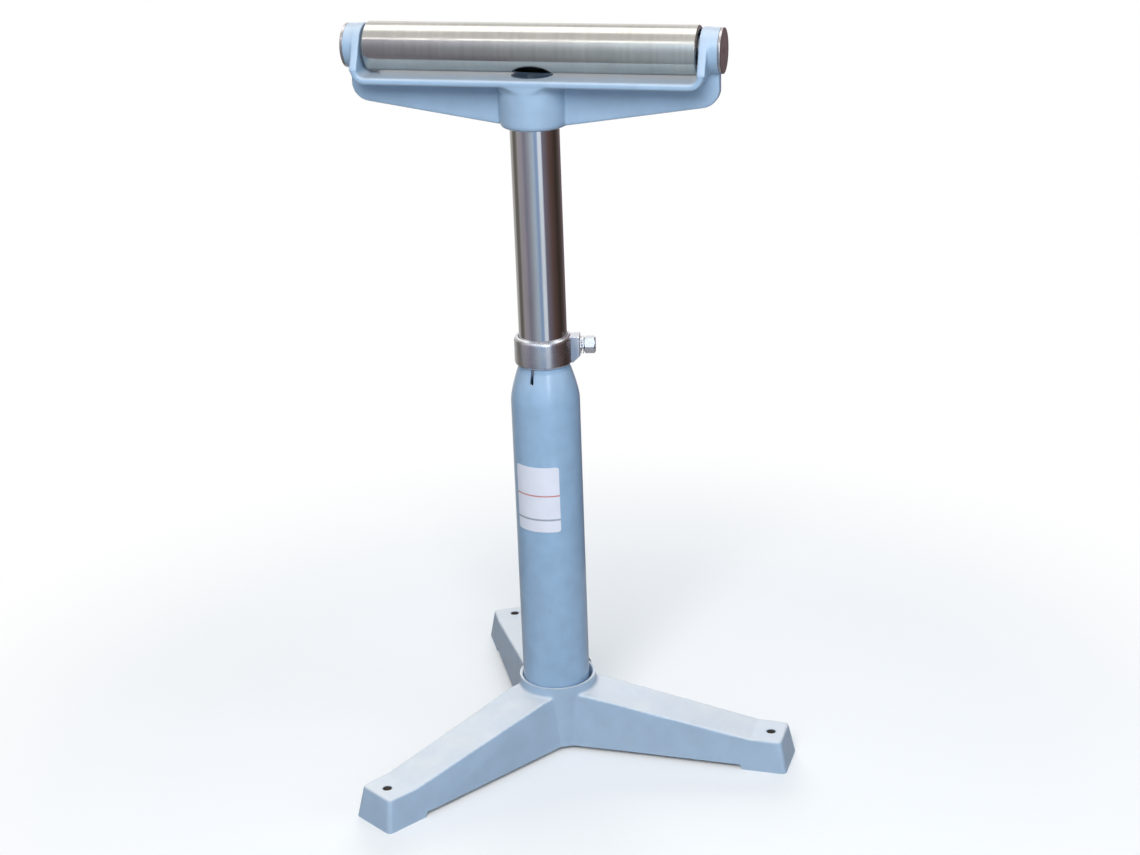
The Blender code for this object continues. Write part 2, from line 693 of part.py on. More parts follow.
def make_bearings(axle_axis, roller_axis, cage_axes, steel, rubber, brass):
    pitch_radius = (axle_radius + bearing_radius) / 2
    land = bearing_depth * bearing_land_share
    ball_radius = ball_diameter / 2
    groove_radius = ball_radius + ball_clearance
    face = roller_length / 2 - bearing_recess
    middle = face - bearing_width / 2
    back = face - bearing_width
    inner_land = axle_radius + seat_gap + land
    outer_land = bearing_radius - land
    inner_half = math.acos((pitch_radius - inner_land) / groove_radius)
    outer_half = math.acos((outer_land - pitch_radius) / groove_radius)
    inner_groove = [(pitch_radius - groove_radius * math.cos(a), middle + groove_radius * math.sin(a))
                    for a in spread(-inner_half, inner_half, groove_steps)]
    outer_groove = [(pitch_radius + groove_radius * math.cos(a), middle + groove_radius * math.sin(a))
                    for a in spread(outer_half, -outer_half, groove_steps)]
    inner = turned([(axle_radius + seat_gap, face), (axle_radius + seat_gap, back), (inner_land, back)]
                   + inner_groove + [(inner_land, face)], bearing_facets)
    outer = turned([(bearing_radius, face), (bearing_radius, back), (outer_land, back)]
                   + outer_groove[::-1] + [(outer_land, face)], bearing_facets)
    add_pair("bearing_inner_ring", inner, steel, axle_axis)
    add_pair("bearing_outer_ring", outer, steel, roller_axis)
    for name, low in (("bearing_front_seal", face - seal_inset - seal_thickness),
                      ("bearing_rear_seal", back + seal_inset)):
        seal = turned(tube_outline(inner_land + seat_gap, outer_land - seat_gap, low, low + seal_thickness),
                      bearing_facets)
        add_pair(name, seal, rubber, roller_axis)
    for side, axis in cage_axes.items():
        turn = 0 if side == "right" else math.pi
        cage_ring = turned(tube_outline(pitch_radius - cage_wall / 2, pitch_radius + cage_wall / 2,
                                        middle - cage_height / 2, middle + cage_height / 2), bearing_facets)
        cage = add_piece("bearing_cage_" + side, cage_ring, brass, axis, rotation=(turn, 0, 0))
        balls = bmesh.new()
        for ball in range(ball_count):
            turn_to_ball = Matrix.Rotation(2 * math.pi * ball / ball_count, 4, "Z")
            place = turn_to_ball @ Matrix.Translation((pitch_radius, 0, middle))
            bmesh.ops.create_uvsphere(balls, u_segments=ball_facets, v_segments=ball_rings,
                                      radius=ball_radius, matrix=place)
        join_tool(cage, add_piece("fuse_balls_" + side, balls, steel, axis, rotation=(turn, 0, 0)), "UNION")


def make_roller(roller_axis, steel, dark_steel):
    half = roller_length / 2
    seat_radius = bearing_radius + seat_gap
    seat_depth = bearing_recess + bearing_width + seat_gap
    groove_out = half - bearing_recess + seat_gap
    groove_in = groove_out + circlip_thickness + seat_gap
    groove_radius = seat_radius + circlip_groove_depth
    right_end = [(roller_bore / 2, half - seat_depth), (seat_radius, half - seat_depth),
                 (seat_radius, groove_out), (groove_radius, groove_out), (groove_radius, groove_in),
                 (seat_radius, groove_in), (seat_radius, half), (roller_radius - roller_end_chamfer, half),
                 (roller_radius, half - roller_end_chamfer)]
    left_end = [(radius, -along) for radius, along in reversed(right_end)]
    add_piece("roller_tube", turned(right_end + left_end, roller_facets), steel, roller_axis)
    clip_low = groove_out
    clip = turned(tube_outline(seat_radius - circlip_width + circlip_groove_depth,
                               groove_radius - seat_gap, clip_low + seat_gap / 2,
                               clip_low + seat_gap / 2 + circlip_thickness), bearing_facets,
                  2 * math.pi - circlip_opening)
    add_pair("bearing_circlip", clip, dark_steel, roller_axis)


def centre_on_footprint(root):
    # Slides the whole stand so that its bounding box is centred on the origin
    bpy.context.view_layer.update()
    corners = [piece.matrix_world @ vert.co for piece in bpy.data.objects
               if piece.type == "MESH" and not piece.hide_render for vert in piece.data.vertices]
    low = Vector([min(corner[axis] for corner in corners) for axis in range(3)])
    high = Vector([max(corner[axis] for corner in corners) for axis in range(3)])
    root.location = (-(low.x + high.x) / 2, -(low.y + high.y) / 2, 0)


def main():
    clear_scene()
    iron = make_look("painted_iron", (0.36, 0.46, 0.58), 0.0, 0.45)
    paint = make_look("painted_steel", (0.38, 0.48, 0.60), 0.0, 0.4)
    zinc = make_look("zinc_plate", (0.68, 0.69, 0.70), 1.0, 0.3)
    chrome = make_look("chrome_plate", (0.75, 0.75, 0.76), 1.0, 0.1)
    bright_steel = make_look("turned_steel", (0.66, 0.65, 0.63), 1.0, 0.25)
    dark_steel = make_look("dark_steel", (0.08, 0.08, 0.085), 0.9, 0.45)
    rubber = make_look("seal_rubber", (0.02, 0.02, 0.022), 0.0, 0.6)
    plastic = make_look("guide_plastic", (0.85, 0.84, 0.78), 0.0, 0.5)
    brass = make_look("cage_brass", (0.70, 0.52, 0.25), 1.0, 0.35)

    root = add_axis("stand_root")
    base = make_base(root, iron)
    add_base_screw(root, base, dark_steel)
    make_outer_tube(root, paint)
    screw_axis = add_axis("clamp_screw_axis", root)
    make_clamp(root, zinc, screw_axis)

    bush_axis = add_axis("height_axis", root)
    mast_axis = add_axis("swivel_axis", bush_axis)
    make_mast(mast_axis, bush_axis, chrome, dark_steel, plastic)
    make_yoke(mast_axis, iron)
    add_head_screw(mast_axis, dark_steel)

    axle_axis = add_axis("axle_axis", mast_axis, (0, 0, axle_height), along_x)
    roller_axis = add_axis("roller_axis", mast_axis, (0, 0, axle_height), along_x)
    cage_axes = {side: add_axis("bearing_axis_" + side, mast_axis, (0, 0, axle_height), along_x)
                 for side in ("left", "right")}
    make_axle(axle_axis, bright_steel)
    make_roller(roller_axis, bright_steel, dark_steel)
    make_bearings(axle_axis, roller_axis, cage_axes, bright_steel, rubber, brass)
    centre_on_footprint(root)


main()
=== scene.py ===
# Roller stand: every visible piece in its finished form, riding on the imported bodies
import math

import bmesh
import bpy
from mathutils import Matrix, Vector


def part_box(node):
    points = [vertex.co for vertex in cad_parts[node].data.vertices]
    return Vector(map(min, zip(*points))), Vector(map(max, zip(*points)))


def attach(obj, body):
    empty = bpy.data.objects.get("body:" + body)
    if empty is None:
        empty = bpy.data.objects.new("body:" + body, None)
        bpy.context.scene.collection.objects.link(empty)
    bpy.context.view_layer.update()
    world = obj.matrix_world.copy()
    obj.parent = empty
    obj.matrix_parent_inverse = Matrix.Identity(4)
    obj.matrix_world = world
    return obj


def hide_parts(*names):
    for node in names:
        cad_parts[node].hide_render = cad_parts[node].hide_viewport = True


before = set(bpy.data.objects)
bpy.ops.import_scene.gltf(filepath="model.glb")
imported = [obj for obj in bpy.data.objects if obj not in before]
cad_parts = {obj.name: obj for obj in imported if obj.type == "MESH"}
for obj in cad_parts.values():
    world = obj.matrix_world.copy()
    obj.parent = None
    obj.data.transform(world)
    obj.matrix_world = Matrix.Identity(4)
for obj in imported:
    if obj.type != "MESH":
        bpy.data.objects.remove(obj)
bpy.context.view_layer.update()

mm = 0.001
fullTurn = 2 * math.pi
seatGap = 0.3 * mm  # the gap that touching pieces keep
mergeDistance = 0.002 * mm
roundSteps = 4  # facets in a rounded corner
sharpAngle = math.radians(32)
castSharpAngle = math.radians(48)  # only machined edges are sharp on a casting

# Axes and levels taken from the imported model
tubeLow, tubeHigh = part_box("outer_tube")
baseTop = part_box("base_casting")[1].z
ringLow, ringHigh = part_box("clamp_ring")
mastLow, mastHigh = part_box("mast_tube")
rollerLow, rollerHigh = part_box("roller_tube")
tubeRadius = (tubeHigh.x - tubeLow.x) / 2
mastRadius = (mastHigh.x - mastLow.x) / 2
column = Vector(((mastLow.x + mastHigh.x) / 2, (mastLow.y + mastHigh.y) / 2, 0))
axleHeight = (rollerLow.z + rollerHigh.z) / 2
axleMiddle = Vector((column.x, column.y, axleHeight))
upright = Matrix.Translation(column)
quarterTurn = Matrix.Rotation(math.pi / 2, 4, "Y")  # lays Z along X
alongAxle = Matrix.Translation(axleMiddle) @ quarterTurn
axleSides = {"right": alongAxle, "left": alongAxle @ Matrix.Rotation(math.pi, 4, "X")}


# Shared modelling helpers

def only(kind, items):
    return [item for item in items if isinstance(item, kind)]


def turned(angle):
    return Matrix.Rotation(angle, 4, "Z")


def outward(height, angle):
    # Z points away from the column at this height, in the direction of the angle
    return Matrix.Translation(column + Vector((0, 0, height))) @ turned(angle) @ quarterTurn


def linked(name, shape):
    # A new object in the scene; the shape is used up
    mesh = bpy.data.meshes.new(name)
    shape.to_mesh(mesh)
    shape.free()
    piece = bpy.data.objects.new(name, mesh)
    bpy.context.scene.collection.objects.link(piece)
    return piece


def cutOff(shape, place, normal, keepBeyond=False):
    # Splits a shape along a plane; what lies beyond goes unless it is kept, and the cut is closed
    bmesh.ops.bisect_plane(shape, geom=shape.verts[:] + shape.edges[:] + shape.faces[:], dist=mergeDistance,
                           plane_co=place, plane_no=normal, clear_outer=not keepBeyond)
    if not keepBeyond:
        bmesh.ops.holes_fill(shape, edges=[edge for edge in shape.edges if edge.is_boundary])


def spun(profile, steps, sweep=fullTurn):
    # profile holds (radius, height) or (radius, height, corner rounding) and is spun about Z
    shape = bmesh.new()
    verts = [shape.verts.new((point[0], 0, point[1])) for point in profile]
    for pair in zip(verts, verts[1:]):
        shape.edges.new(pair)
    if profile[0][0] > 0:
        shape.edges.new((verts[-1], verts[0]))
    roundings = [point[2] if len(point) > 2 else 0 for point in profile]
    for size in sorted(set(roundings) - {0}):
        corners = [vert for vert, rounding in zip(verts, roundings) if rounding == size]
        bmesh.ops.bevel(shape, geom=corners, offset=size, segments=roundSteps, profile=0.5,
                        affect="VERTICES", material=-1)
    startEdges = shape.edges[:]
    isFull = math.isclose(sweep, fullTurn)
    swept = bmesh.ops.spin(shape, geom=shape.verts[:] + startEdges, cent=(0, 0, 0), axis=(0, 0, 1),
                           angle=sweep, steps=steps, use_merge=isFull)
    if not isFull:
        bmesh.ops.contextual_create(shape, geom=startEdges)
        bmesh.ops.contextual_create(shape, geom=only(bmesh.types.BMEdge, swept["geom_last"]))
    return shape


def sleeve(inner, outer, low, high, rounding=0.0, steps=96, sweep=fullTurn):
    return spun([(inner, high, rounding), (outer, high, rounding), (outer, low, rounding),
                 (inner, low, rounding)], steps, sweep)


def bar(radius, low, high, rounding=0.0, steps=64):
    return spun([(0, high), (radius, high, rounding), (radius, low, rounding), (0, low)], steps)


def block(size, centre, rounding=0.0, segments=3):
    shape = bmesh.new()
    place = Matrix.Translation(centre) @ Matrix.Diagonal((*size, 1))
    bmesh.ops.create_cube(shape, size=1, matrix=place)
    if rounding:
        bmesh.ops.bevel(shape, geom=shape.edges, offset=rounding, segments=segments, profile=0.5,
                        affect="EDGES", material=-1)
    return shape


def placed(shape, place):
    bmesh.ops.transform(shape, matrix=place, verts=shape.verts)
    return shape


def gathered(shapes):
    # Several shapes in one, still separate shells
    whole = bmesh.new()
    for shape in shapes:
        carrier = bpy.data.meshes.new("carrier")
        shape.to_mesh(carrier)
        shape.free()
        whole.from_mesh(carrier)
        bpy.data.meshes.remove(carrier)
    return whole


def hullOf(shapes):
    # One convex shape stretched over several
    whole = gathered(shapes)
    wrapped = bmesh.ops.convex_hull(whole, input=whole.verts)
    inside = only(bmesh.types.BMVert, wrapped["geom_interior"] + wrapped["geom_unused"])
    bmesh.ops.delete(whole, geom=list(set(inside)), context="VERTS")
    hullFaces = set(only(bmesh.types.BMFace, wrapped["geom"]))
    spare = [face for face in whole.faces if face not in hullFaces]
    bmesh.ops.delete(whole, geom=spare, context="FACES_ONLY")
    return whole


def closedObject(name, shape):
    bmesh.ops.remove_doubles(shape, verts=shape.verts, dist=mergeDistance)
    bmesh.ops.dissolve_degenerate(shape, edges=shape.edges, dist=mergeDistance / 2)
    bmesh.ops.recalc_face_normals(shape, faces=shape.faces)
    return linked(name, shape)


def settle(piece):
    # Turns a piece's modifiers into its mesh
    depsgraph = bpy.context.evaluated_depsgraph_get()
    smooth = bpy.data.meshes.new_from_object(piece.evaluated_get(depsgraph))
    rough = piece.data
    piece.modifiers.clear()
    piece.data = smooth
    bpy.data.meshes.remove(rough)


def cut(shape, place):
    return "DIFFERENCE", placed(shape, place)


def joined(shape, place):
    return "UNION", placed(shape, place)


def machined(piece, tools):
    # tools holds (operation, shape); each shape cuts, joins or trims the piece
    helpers = []
    for operation, shape in tools:
        helper = closedObject("helper", shape)
        change = piece.modifiers.new("machining", "BOOLEAN")
        change.operation = operation
        change.solver = "EXACT"
        change.object = helper
        helpers.append(helper)
    settle(piece)
    for helper in helpers:
        bpy.data.meshes.remove(helper.data)
    return piece


def cast(piece, grain, passes):
    # Melts joined shapes into one skin, with the soft corners and fillets of a casting
    skin = piece.modifiers.new("skin", "REMESH")
    skin.mode = "VOXEL"
    skin.voxel_size = grain
    soften = piece.modifiers.new("soften", "SMOOTH")
    soften.factor = 0.5
    soften.iterations = passes
    settle(piece)
    return piece


def trimmed(piece, cuts):
    # cuts holds (point, direction); what lies past each plane goes, and the cut is closed
    shape = bmesh.new()
    shape.from_mesh(piece.data)
    for point, direction in cuts:
        cutOff(shape, point, direction)
    shape.to_mesh(piece.data)
    shape.free()
    return piece


def finished(piece, node, body, looks, crease=sharpAngle):
    # Dresses a piece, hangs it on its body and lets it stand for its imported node
    piece.name = node + ".finished"
    piece.data.name = piece.name
    piece.data.materials.clear()
    for look in looks:
        piece.data.materials.append(look)
    piece.data.shade_smooth()
    piece.data.set_sharp_from_angle(angle=crease)
    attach(piece, body)
    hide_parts(node)
    return piece


def turnedPiece(node, body, look, profile, place=upright, steps=128, sweep=fullTurn):
    piece = closedObject(node, placed(spun(profile, steps, sweep), place))
    return finished(piece, node, body, [look])


def hexHead(spanner, low, high, chamfer):
    # A hexagon whose corners are turned off at both ends
    shape = bmesh.new()
    corner = spanner / math.sqrt(3)
    middle = Matrix.Translation((0, 0, (low + high) / 2))
    bmesh.ops.create_cone(shape, cap_ends=True, segments=6, radius1=corner, radius2=corner,
                          depth=high - low, matrix=middle)
    head = closedObject("hexagon", shape)
    flat = spanner / 2
    drop = (corner - flat + chamfer) * math.tan(math.radians(30))
    turning = spun([(0, high), (flat - chamfer, high), (corner + chamfer, high - drop - chamfer),
                    (corner + chamfer, low + drop + chamfer), (flat - chamfer, low), (0, low)], 96)
    machined(head, [("INTERSECT", turning)])
    shape = bmesh.new()
    shape.from_mesh(head.data)
    bpy.data.meshes.remove(head.data)
    return shape


# Node helpers

def newNode(tree, kind, sockets=None, **settings):
    made = tree.nodes.new("ShaderNode" + kind)
    for name, value in settings.items():
        setattr(made, name, value)
    for key, value in (sockets or {}).items():
        if isinstance(value, bpy.types.NodeSocket):
            tree.links.new(value, made.inputs[key])
        else:
            made.inputs[key].default_value = value
    return made


def newGroup(name, inputs, outputs):
    tree = bpy.data.node_groups.new(name, "ShaderNodeTree")
    for socketName, kind, default in inputs:
        socket = tree.interface.new_socket(socketName, in_out="INPUT", socket_type="NodeSocket" + kind)
        if default is not None:
            socket.default_value = default
    for socketName, kind in outputs:
        tree.interface.new_socket(socketName, in_out="OUTPUT", socket_type="NodeSocket" + kind)
    return tree, tree.nodes.new("NodeGroupInput").outputs, tree.nodes.new("NodeGroupOutput")


def groupNode(tree, group, sockets):
    return newNode(tree, "Group", sockets, node_tree=group).outputs


def maths(tree, operation, *values):
    return newNode(tree, "Math", dict(enumerate(values)), operation=operation).outputs[0]


def rangeOf(tree, value, low, high, newLow=0.0, newHigh=1.0):
    return newNode(tree, "MapRange", {"Value": value, "From Min": low, "From Max": high, "To Min": newLow,
                                      "To Max": newHigh}).outputs[0]


def noise(tree, vector, scale, detail=2.0, roughness=0.5):
    return newNode(tree, "TexNoise", {"Vector": vector, "Scale": scale, "Detail": detail,
                                      "Roughness": roughness}).outputs["Fac"]


def mixedColour(tree, share, first, second, blend="MIX"):
    return newNode(tree, "Mix", {0: share, 6: first, 7: second}, data_type="RGBA",
                   blend_type=blend).outputs[2]


def feed(tree, node, sockets):
    # Links outputs to a node's named inputs
    for key, value in sockets.items():
        tree.links.new(value, node.inputs[key])


print("helpers ready")


# Shared surface effects

def makeCastSkin():
    # Sand-cast unevenness under a sprayed skin: height for a bump, tone for the colour
    tree, given, result = newGroup("castSkin", [
        ("Vector", "Vector", None), ("Pit Scale", "Float", 420.0), ("Wave Scale", "Float", 38.0),
        ("Pit Share", "Float", 0.4)], [("Height", "Float"), ("Tone", "Float")])
    pits = noise(tree, given["Vector"], given["Pit Scale"], 3.0, 0.55)
    waves = noise(tree, given["Vector"], given["Wave Scale"], 2.0, 0.5)
    height = maths(tree, "ADD", maths(tree, "MULTIPLY", pits, given["Pit Share"]), waves)
    feed(tree, result, {"Height": height, "Tone": waves})
    return tree


def makeEdgeWearAndSheen():
    # Convex edges, broken up by noise; the enamels use it both for coat wear and for a painted highlight
    # along the edges
    tree, given, result = newGroup("edgeWearAndSheen", [
        ("Vector", "Vector", None), ("Start", "Float", 0.53), ("End", "Float", 0.6),
        ("Scale", "Float", 90.0)], [("Mask", "Float")])
    geometry = newNode(tree, "NewGeometry").outputs
    patches = noise(tree, given["Vector"], given["Scale"], 4.0, 0.65)
    lifted = rangeOf(tree, geometry["Pointiness"], given["Start"], given["End"])
    feed(tree, result, {"Mask": maths(tree, "MULTIPLY", lifted, rangeOf(tree, patches, 0.35, 0.6))})
    return tree


def makeDustAndTopLight():
    # A dust film that is thickest on faces that look up, which also serves as painted light from above
    # making those faces paler; Everywhere is its share on the other faces
    tree, given, result = newGroup("dustAndTopLight", [
        ("Vector", "Vector", None), ("Amount", "Float", 0.3), ("Everywhere", "Float", 0.1)],
        [("Mask", "Float")])
    normal = newNode(tree, "NewGeometry").outputs["Normal"]
    split = newNode(tree, "SeparateXYZ", {0: normal}).outputs
    facingUp = rangeOf(tree, split["Z"], 0.2, 0.9, given["Everywhere"])
    cloud = rangeOf(tree, noise(tree, given["Vector"], 26.0, 4.0, 0.6), 0.3, 0.7, 0.75, 1.0)
    dustAndTopLightFilm = maths(tree, "MULTIPLY", facingUp, cloud)
    feed(tree, result, {"Mask": maths(tree, "MULTIPLY", dustAndTopLightFilm, given["Amount"])})
    return tree


def makeLatheMarks():
    # Fine rings left by turning; Along is the coordinate that crosses the rings
    tree, given, result = newGroup("latheMarks", [
        ("Along", "Float", 0.0), ("Pitch", "Float", 0.0004), ("Vector", "Vector", None)],
        [("Height", "Float"), ("Tone", "Float")])
    rings = maths(tree, "DIVIDE", given["Along"], given["Pitch"])
    ringPlace = newNode(tree, "CombineXYZ", {"X": rings}).outputs[0]
    fine = noise(tree, ringPlace, 1.0, 3.0, 0.7)
    broad = noise(tree, ringPlace, 0.06)
    drift = noise(tree, given["Vector"], 30.0)
    tone = maths(tree, "MULTIPLY", maths(tree, "ADD", broad, drift), 0.5)
    feed(tree, result, {"Height": fine, "Tone": tone})
    return tree


def makeSmears():
    # Handling marks: stretched clouds of finger grease, as a mask
    tree, given, result = newGroup("smears", [
        ("Vector", "Vector", None), ("Stretch", "Vector", (1.0, 1.0, 1.0)), ("Scale", "Float", 20.0)],
        [("Mask", "Float")])
    stretched = newNode(tree, "Mapping", {"Vector": given["Vector"], "Scale": given["Stretch"]}).outputs[0]
    clouds = noise(tree, stretched, given["Scale"], 5.0, 0.62)
    feed(tree, result, {"Mask": rangeOf(tree, clouds, 0.42, 0.68)})
    return tree


castSkin = makeCastSkin()
edgeWearAndSheen = makeEdgeWearAndSheen()
dustAndTopLight = makeDustAndTopLight()
latheMarks = makeLatheMarks()
smears = makeSmears()


# Materials

def newLook(name, roughness, metallic=0.0, **constants):
    look = bpy.data.materials.new(name)
    look.use_nodes = True
    tree = look.node_tree
    shader = tree.nodes["Principled BSDF"]
    for socketName, value in {"Roughness": roughness, "Metallic": metallic, **constants}.items():
        shader.inputs[socketName.replace("_", " ")].default_value = value
    place = newNode(tree, "TexCoord").outputs["Object"]
    return look, tree, shader, place


def addBump(tree, shader, height, strength, distance):
    bump = newNode(tree, "Bump", {"Height": height, "Strength": strength, "Distance": distance})
    feed(tree, shader, {"Normal": bump.outputs[0]})


enamel = {
    "castColour": (0.29, 0.425, 0.59, 1), "tubeColour": (0.272, 0.42, 0.60, 1),
    "thinCoatAndSheen": (0.60, 0.68, 0.75, 1),  # where the coat runs thin over an edge, together with a painted highlight along the edges
    "dustAndTopLight": (0.79, 0.76, 0.715, 1),
    # dust and painted top light on faces that look up, and the share of it elsewhere
    "headDustAndTopLight": (0.34, 0.08), "baseDustAndTopLight": (0.66, 0.2), "tubeDustAndTopLight": (0.45, 0.05),
}


def makeEnamel(name, colour, dustingAndTopLight, wearAndSheen, pitScale, waveScale, bumpDepth, roughness):
    look, tree, shader, place = newLook(name, roughness, Coat_Weight=0.5, Coat_Roughness=0.16)
    skin = groupNode(tree, castSkin, {"Vector": place, "Pit Scale": pitScale, "Wave Scale": waveScale})
    edgeWearAndSheenMask = groupNode(tree, edgeWearAndSheen, {"Vector": place})
    dustAndTopLightFilm = groupNode(tree, dustAndTopLight, {"Vector": place, "Amount": dustingAndTopLight[0], "Everywhere": dustingAndTopLight[1]})
    tone = rangeOf(tree, skin["Tone"], 0.3, 0.7, 0.94, 1.05)
    grey = newNode(tree, "CombineColor", {0: tone, 1: tone, 2: tone}).outputs[0]
    toned = mixedColour(tree, 1.0, colour, grey, "MULTIPLY")
    # pale edges: partly a thinned coat, partly a painted highlight standing in for the gloss on rounded
    # edges
    thinCoatAndSheenColour = mixedColour(tree, maths(tree, "MULTIPLY", edgeWearAndSheenMask["Mask"], wearAndSheen), toned, enamel["thinCoatAndSheen"])
    # faces that look up are paled by dust and by painted light from above
    feed(tree, shader, {"Base Color": mixedColour(tree, dustAndTopLightFilm["Mask"], thinCoatAndSheenColour, enamel["dustAndTopLight"]),
                        "Roughness": maths(tree, "MULTIPLY_ADD", dustAndTopLightFilm["Mask"], 0.25, roughness)})
    addBump(tree, shader, skin["Height"], 0.5, bumpDepth)
    return look


def makeChrome():
    look, tree, shader, place = newLook("polishedChrome", 0.07, 1.0)
    grease = groupNode(tree, smears, {"Vector": place, "Stretch": (1.0, 1.0, 0.16), "Scale": 60.0})
    drawn = groupNode(tree, smears, {"Vector": place, "Stretch": (8.0, 8.0, 0.12), "Scale": 160.0})
    colour = mixedColour(tree, grease["Mask"], (0.72, 0.725, 0.75, 1), (0.65, 0.645, 0.65, 1))
    feed(tree, shader, {"Base Color": colour,
                        "Roughness": maths(tree, "MULTIPLY_ADD", grease["Mask"], 0.1, 0.06)})
    addBump(tree, shader, drawn["Mask"], 0.08, 0.02 * mm)
    return look


def makeTurnedSteel(name, colour, darker, roughness, pitch, acrossFace, depth=0.012 * mm):
    # acrossFace: rings are read by distance from the axle's line, and otherwise by place along it
    look, tree, shader, place = newLook(name, roughness, 1.0)
    shifted = newNode(tree, "Mapping", {"Vector": place, "Location": -axleMiddle}).outputs[0]
    split = newNode(tree, "SeparateXYZ", {0: shifted}).outputs
    flat = newNode(tree, "CombineXYZ", {"X": split["Y"], "Y": split["Z"]}).outputs[0]
    distance = newNode(tree, "VectorMath", {0: flat}, operation="LENGTH").outputs["Value"]
    along = distance if acrossFace else split["X"]
    marks = groupNode(tree, latheMarks, {"Along": along, "Pitch": pitch, "Vector": place})
    grease = groupNode(tree, smears, {"Vector": place, "Stretch": (0.35, 1.0, 1.0), "Scale": 42.0})
    tone = rangeOf(tree, marks["Tone"], 0.35, 0.65)
    base = mixedColour(tree, tone, colour, darker)
    greased = mixedColour(tree, maths(tree, "MULTIPLY", grease["Mask"], 0.35), base, darker)
    feed(tree, shader, {"Base Color": greased,
                        "Roughness": maths(tree, "MULTIPLY_ADD", grease["Mask"], 0.12, roughness)})
    addBump(tree, shader, marks["Height"], 0.6, depth)
    return look


def makeZinc():
    look, tree, shader, place = newLook("brightZinc", 0.27, 1.0)
    skin = groupNode(tree, castSkin, {"Vector": place, "Pit Scale": 600.0, "Wave Scale": 60.0})
    edgeWearAndSheenMask = groupNode(tree, edgeWearAndSheen, {"Vector": place, "Scale": 300.0})
    tone = rangeOf(tree, skin["Tone"], 0.35, 0.65)
    plated = mixedColour(tree, tone, (0.68, 0.715, 0.79, 1), (0.74, 0.745, 0.77, 1))
    feed(tree, shader, {"Base Color": mixedColour(tree, edgeWearAndSheenMask["Mask"], plated, (0.78, 0.78, 0.78, 1)),
                        "Roughness": rangeOf(tree, skin["Tone"], 0.3, 0.7, 0.2, 0.33)})
    addBump(tree, shader, skin["Height"], 0.2, 0.012 * mm)
    return look


def makeMoulded(name, colour, paler, roughness, metallic, grainScale, depth, **constants):
    # Fine-grained finishes: rubber, nylon, black oxide, brass
    look, tree, shader, place = newLook(name, roughness, metallic, **constants)
    skin = groupNode(tree, castSkin, {"Vector": place, "Pit Scale": grainScale, "Wave Scale": 90.0})
    edgeWearAndSheenMask = groupNode(tree, edgeWearAndSheen, {"Vector": place, "Scale": 400.0})
    tone = rangeOf(tree, skin["Tone"], 0.3, 0.7)
    mottled = mixedColour(tree, maths(tree, "MULTIPLY", tone, 0.4), colour, paler)
    rubbed = mixedColour(tree, maths(tree, "MULTIPLY", edgeWearAndSheenMask["Mask"], 0.6), mottled, paler)
    rough = rangeOf(tree, skin["Tone"], 0.3, 0.7, roughness - 0.06, roughness + 0.08)
    feed(tree, shader, {"Base Color": rubbed, "Roughness": rough})
    addBump(tree, shader, skin["Height"], 0.4, depth)
    return look


headEnamel = makeEnamel("headEnamel", enamel["castColour"], enamel["headDustAndTopLight"], 0.4, 330.0, 42.0,
                        0.32 * mm, 0.36)
baseEnamel = makeEnamel("baseEnamel", enamel["castColour"], enamel["baseDustAndTopLight"], 0.7, 330.0, 42.0,
                        0.32 * mm, 0.4)
tubeEnamel = makeEnamel("tubeEnamel", enamel["tubeColour"], enamel["tubeDustAndTopLight"], 0.35, 520.0, 60.0,
                        0.1 * mm, 0.3)
chrome = makeChrome()
zinc = makeZinc()
rollerSteel = makeTurnedSteel("turnedRoller", (0.66, 0.65, 0.60, 1), (0.57, 0.56, 0.515, 1), 0.15,
                              0.35 * mm, False)
faceSteel = makeTurnedSteel("faceTurnedSteel", (0.66, 0.63, 0.62, 1), (0.5, 0.47, 0.47, 1), 0.2,
                            0.22 * mm, True, 0.02 * mm)
barSteel = makeTurnedSteel("groundBar", (0.62, 0.62, 0.62, 1), (0.5, 0.5, 0.5, 1), 0.24,
                           0.25 * mm, False)
bearingSteel = makeTurnedSteel("groundRing", (0.64, 0.64, 0.65, 1), (0.56, 0.56, 0.57, 1), 0.14,
                               0.15 * mm, True, 0.006 * mm)
# near-black colour given to the drilled walls of the foot holes
nearBlackHoleWall = makeMoulded("nearBlackHoleWall", (0.05, 0.042, 0.038, 1), (0.11, 0.085, 0.07, 1), 0.7, 0.3,
                       900.0, 0.05 * mm)
blackOxide = makeMoulded("blackOxide", (0.045, 0.045, 0.05, 1), (0.14, 0.14, 0.145, 1), 0.42, 0.85,
                         1200.0, 0.03 * mm)
sealRubber = makeMoulded("sealRubber", (0.018, 0.018, 0.02, 1), (0.04, 0.04, 0.042, 1), 0.55, 0.0,
                         1500.0, 0.03 * mm)
guideNylon = makeMoulded("guideNylon", (0.80, 0.79, 0.72, 1), (0.88, 0.87, 0.82, 1), 0.45, 0.0,
                         700.0, 0.03 * mm, Subsurface_Weight=0.12, Subsurface_Scale=0.004)
cageBrass = makeMoulded("cageBrass", (0.62, 0.45, 0.2, 1), (0.74, 0.6, 0.34, 1), 0.3, 1.0,
                        900.0, 0.02 * mm)
print("materials ready")


# Base casting

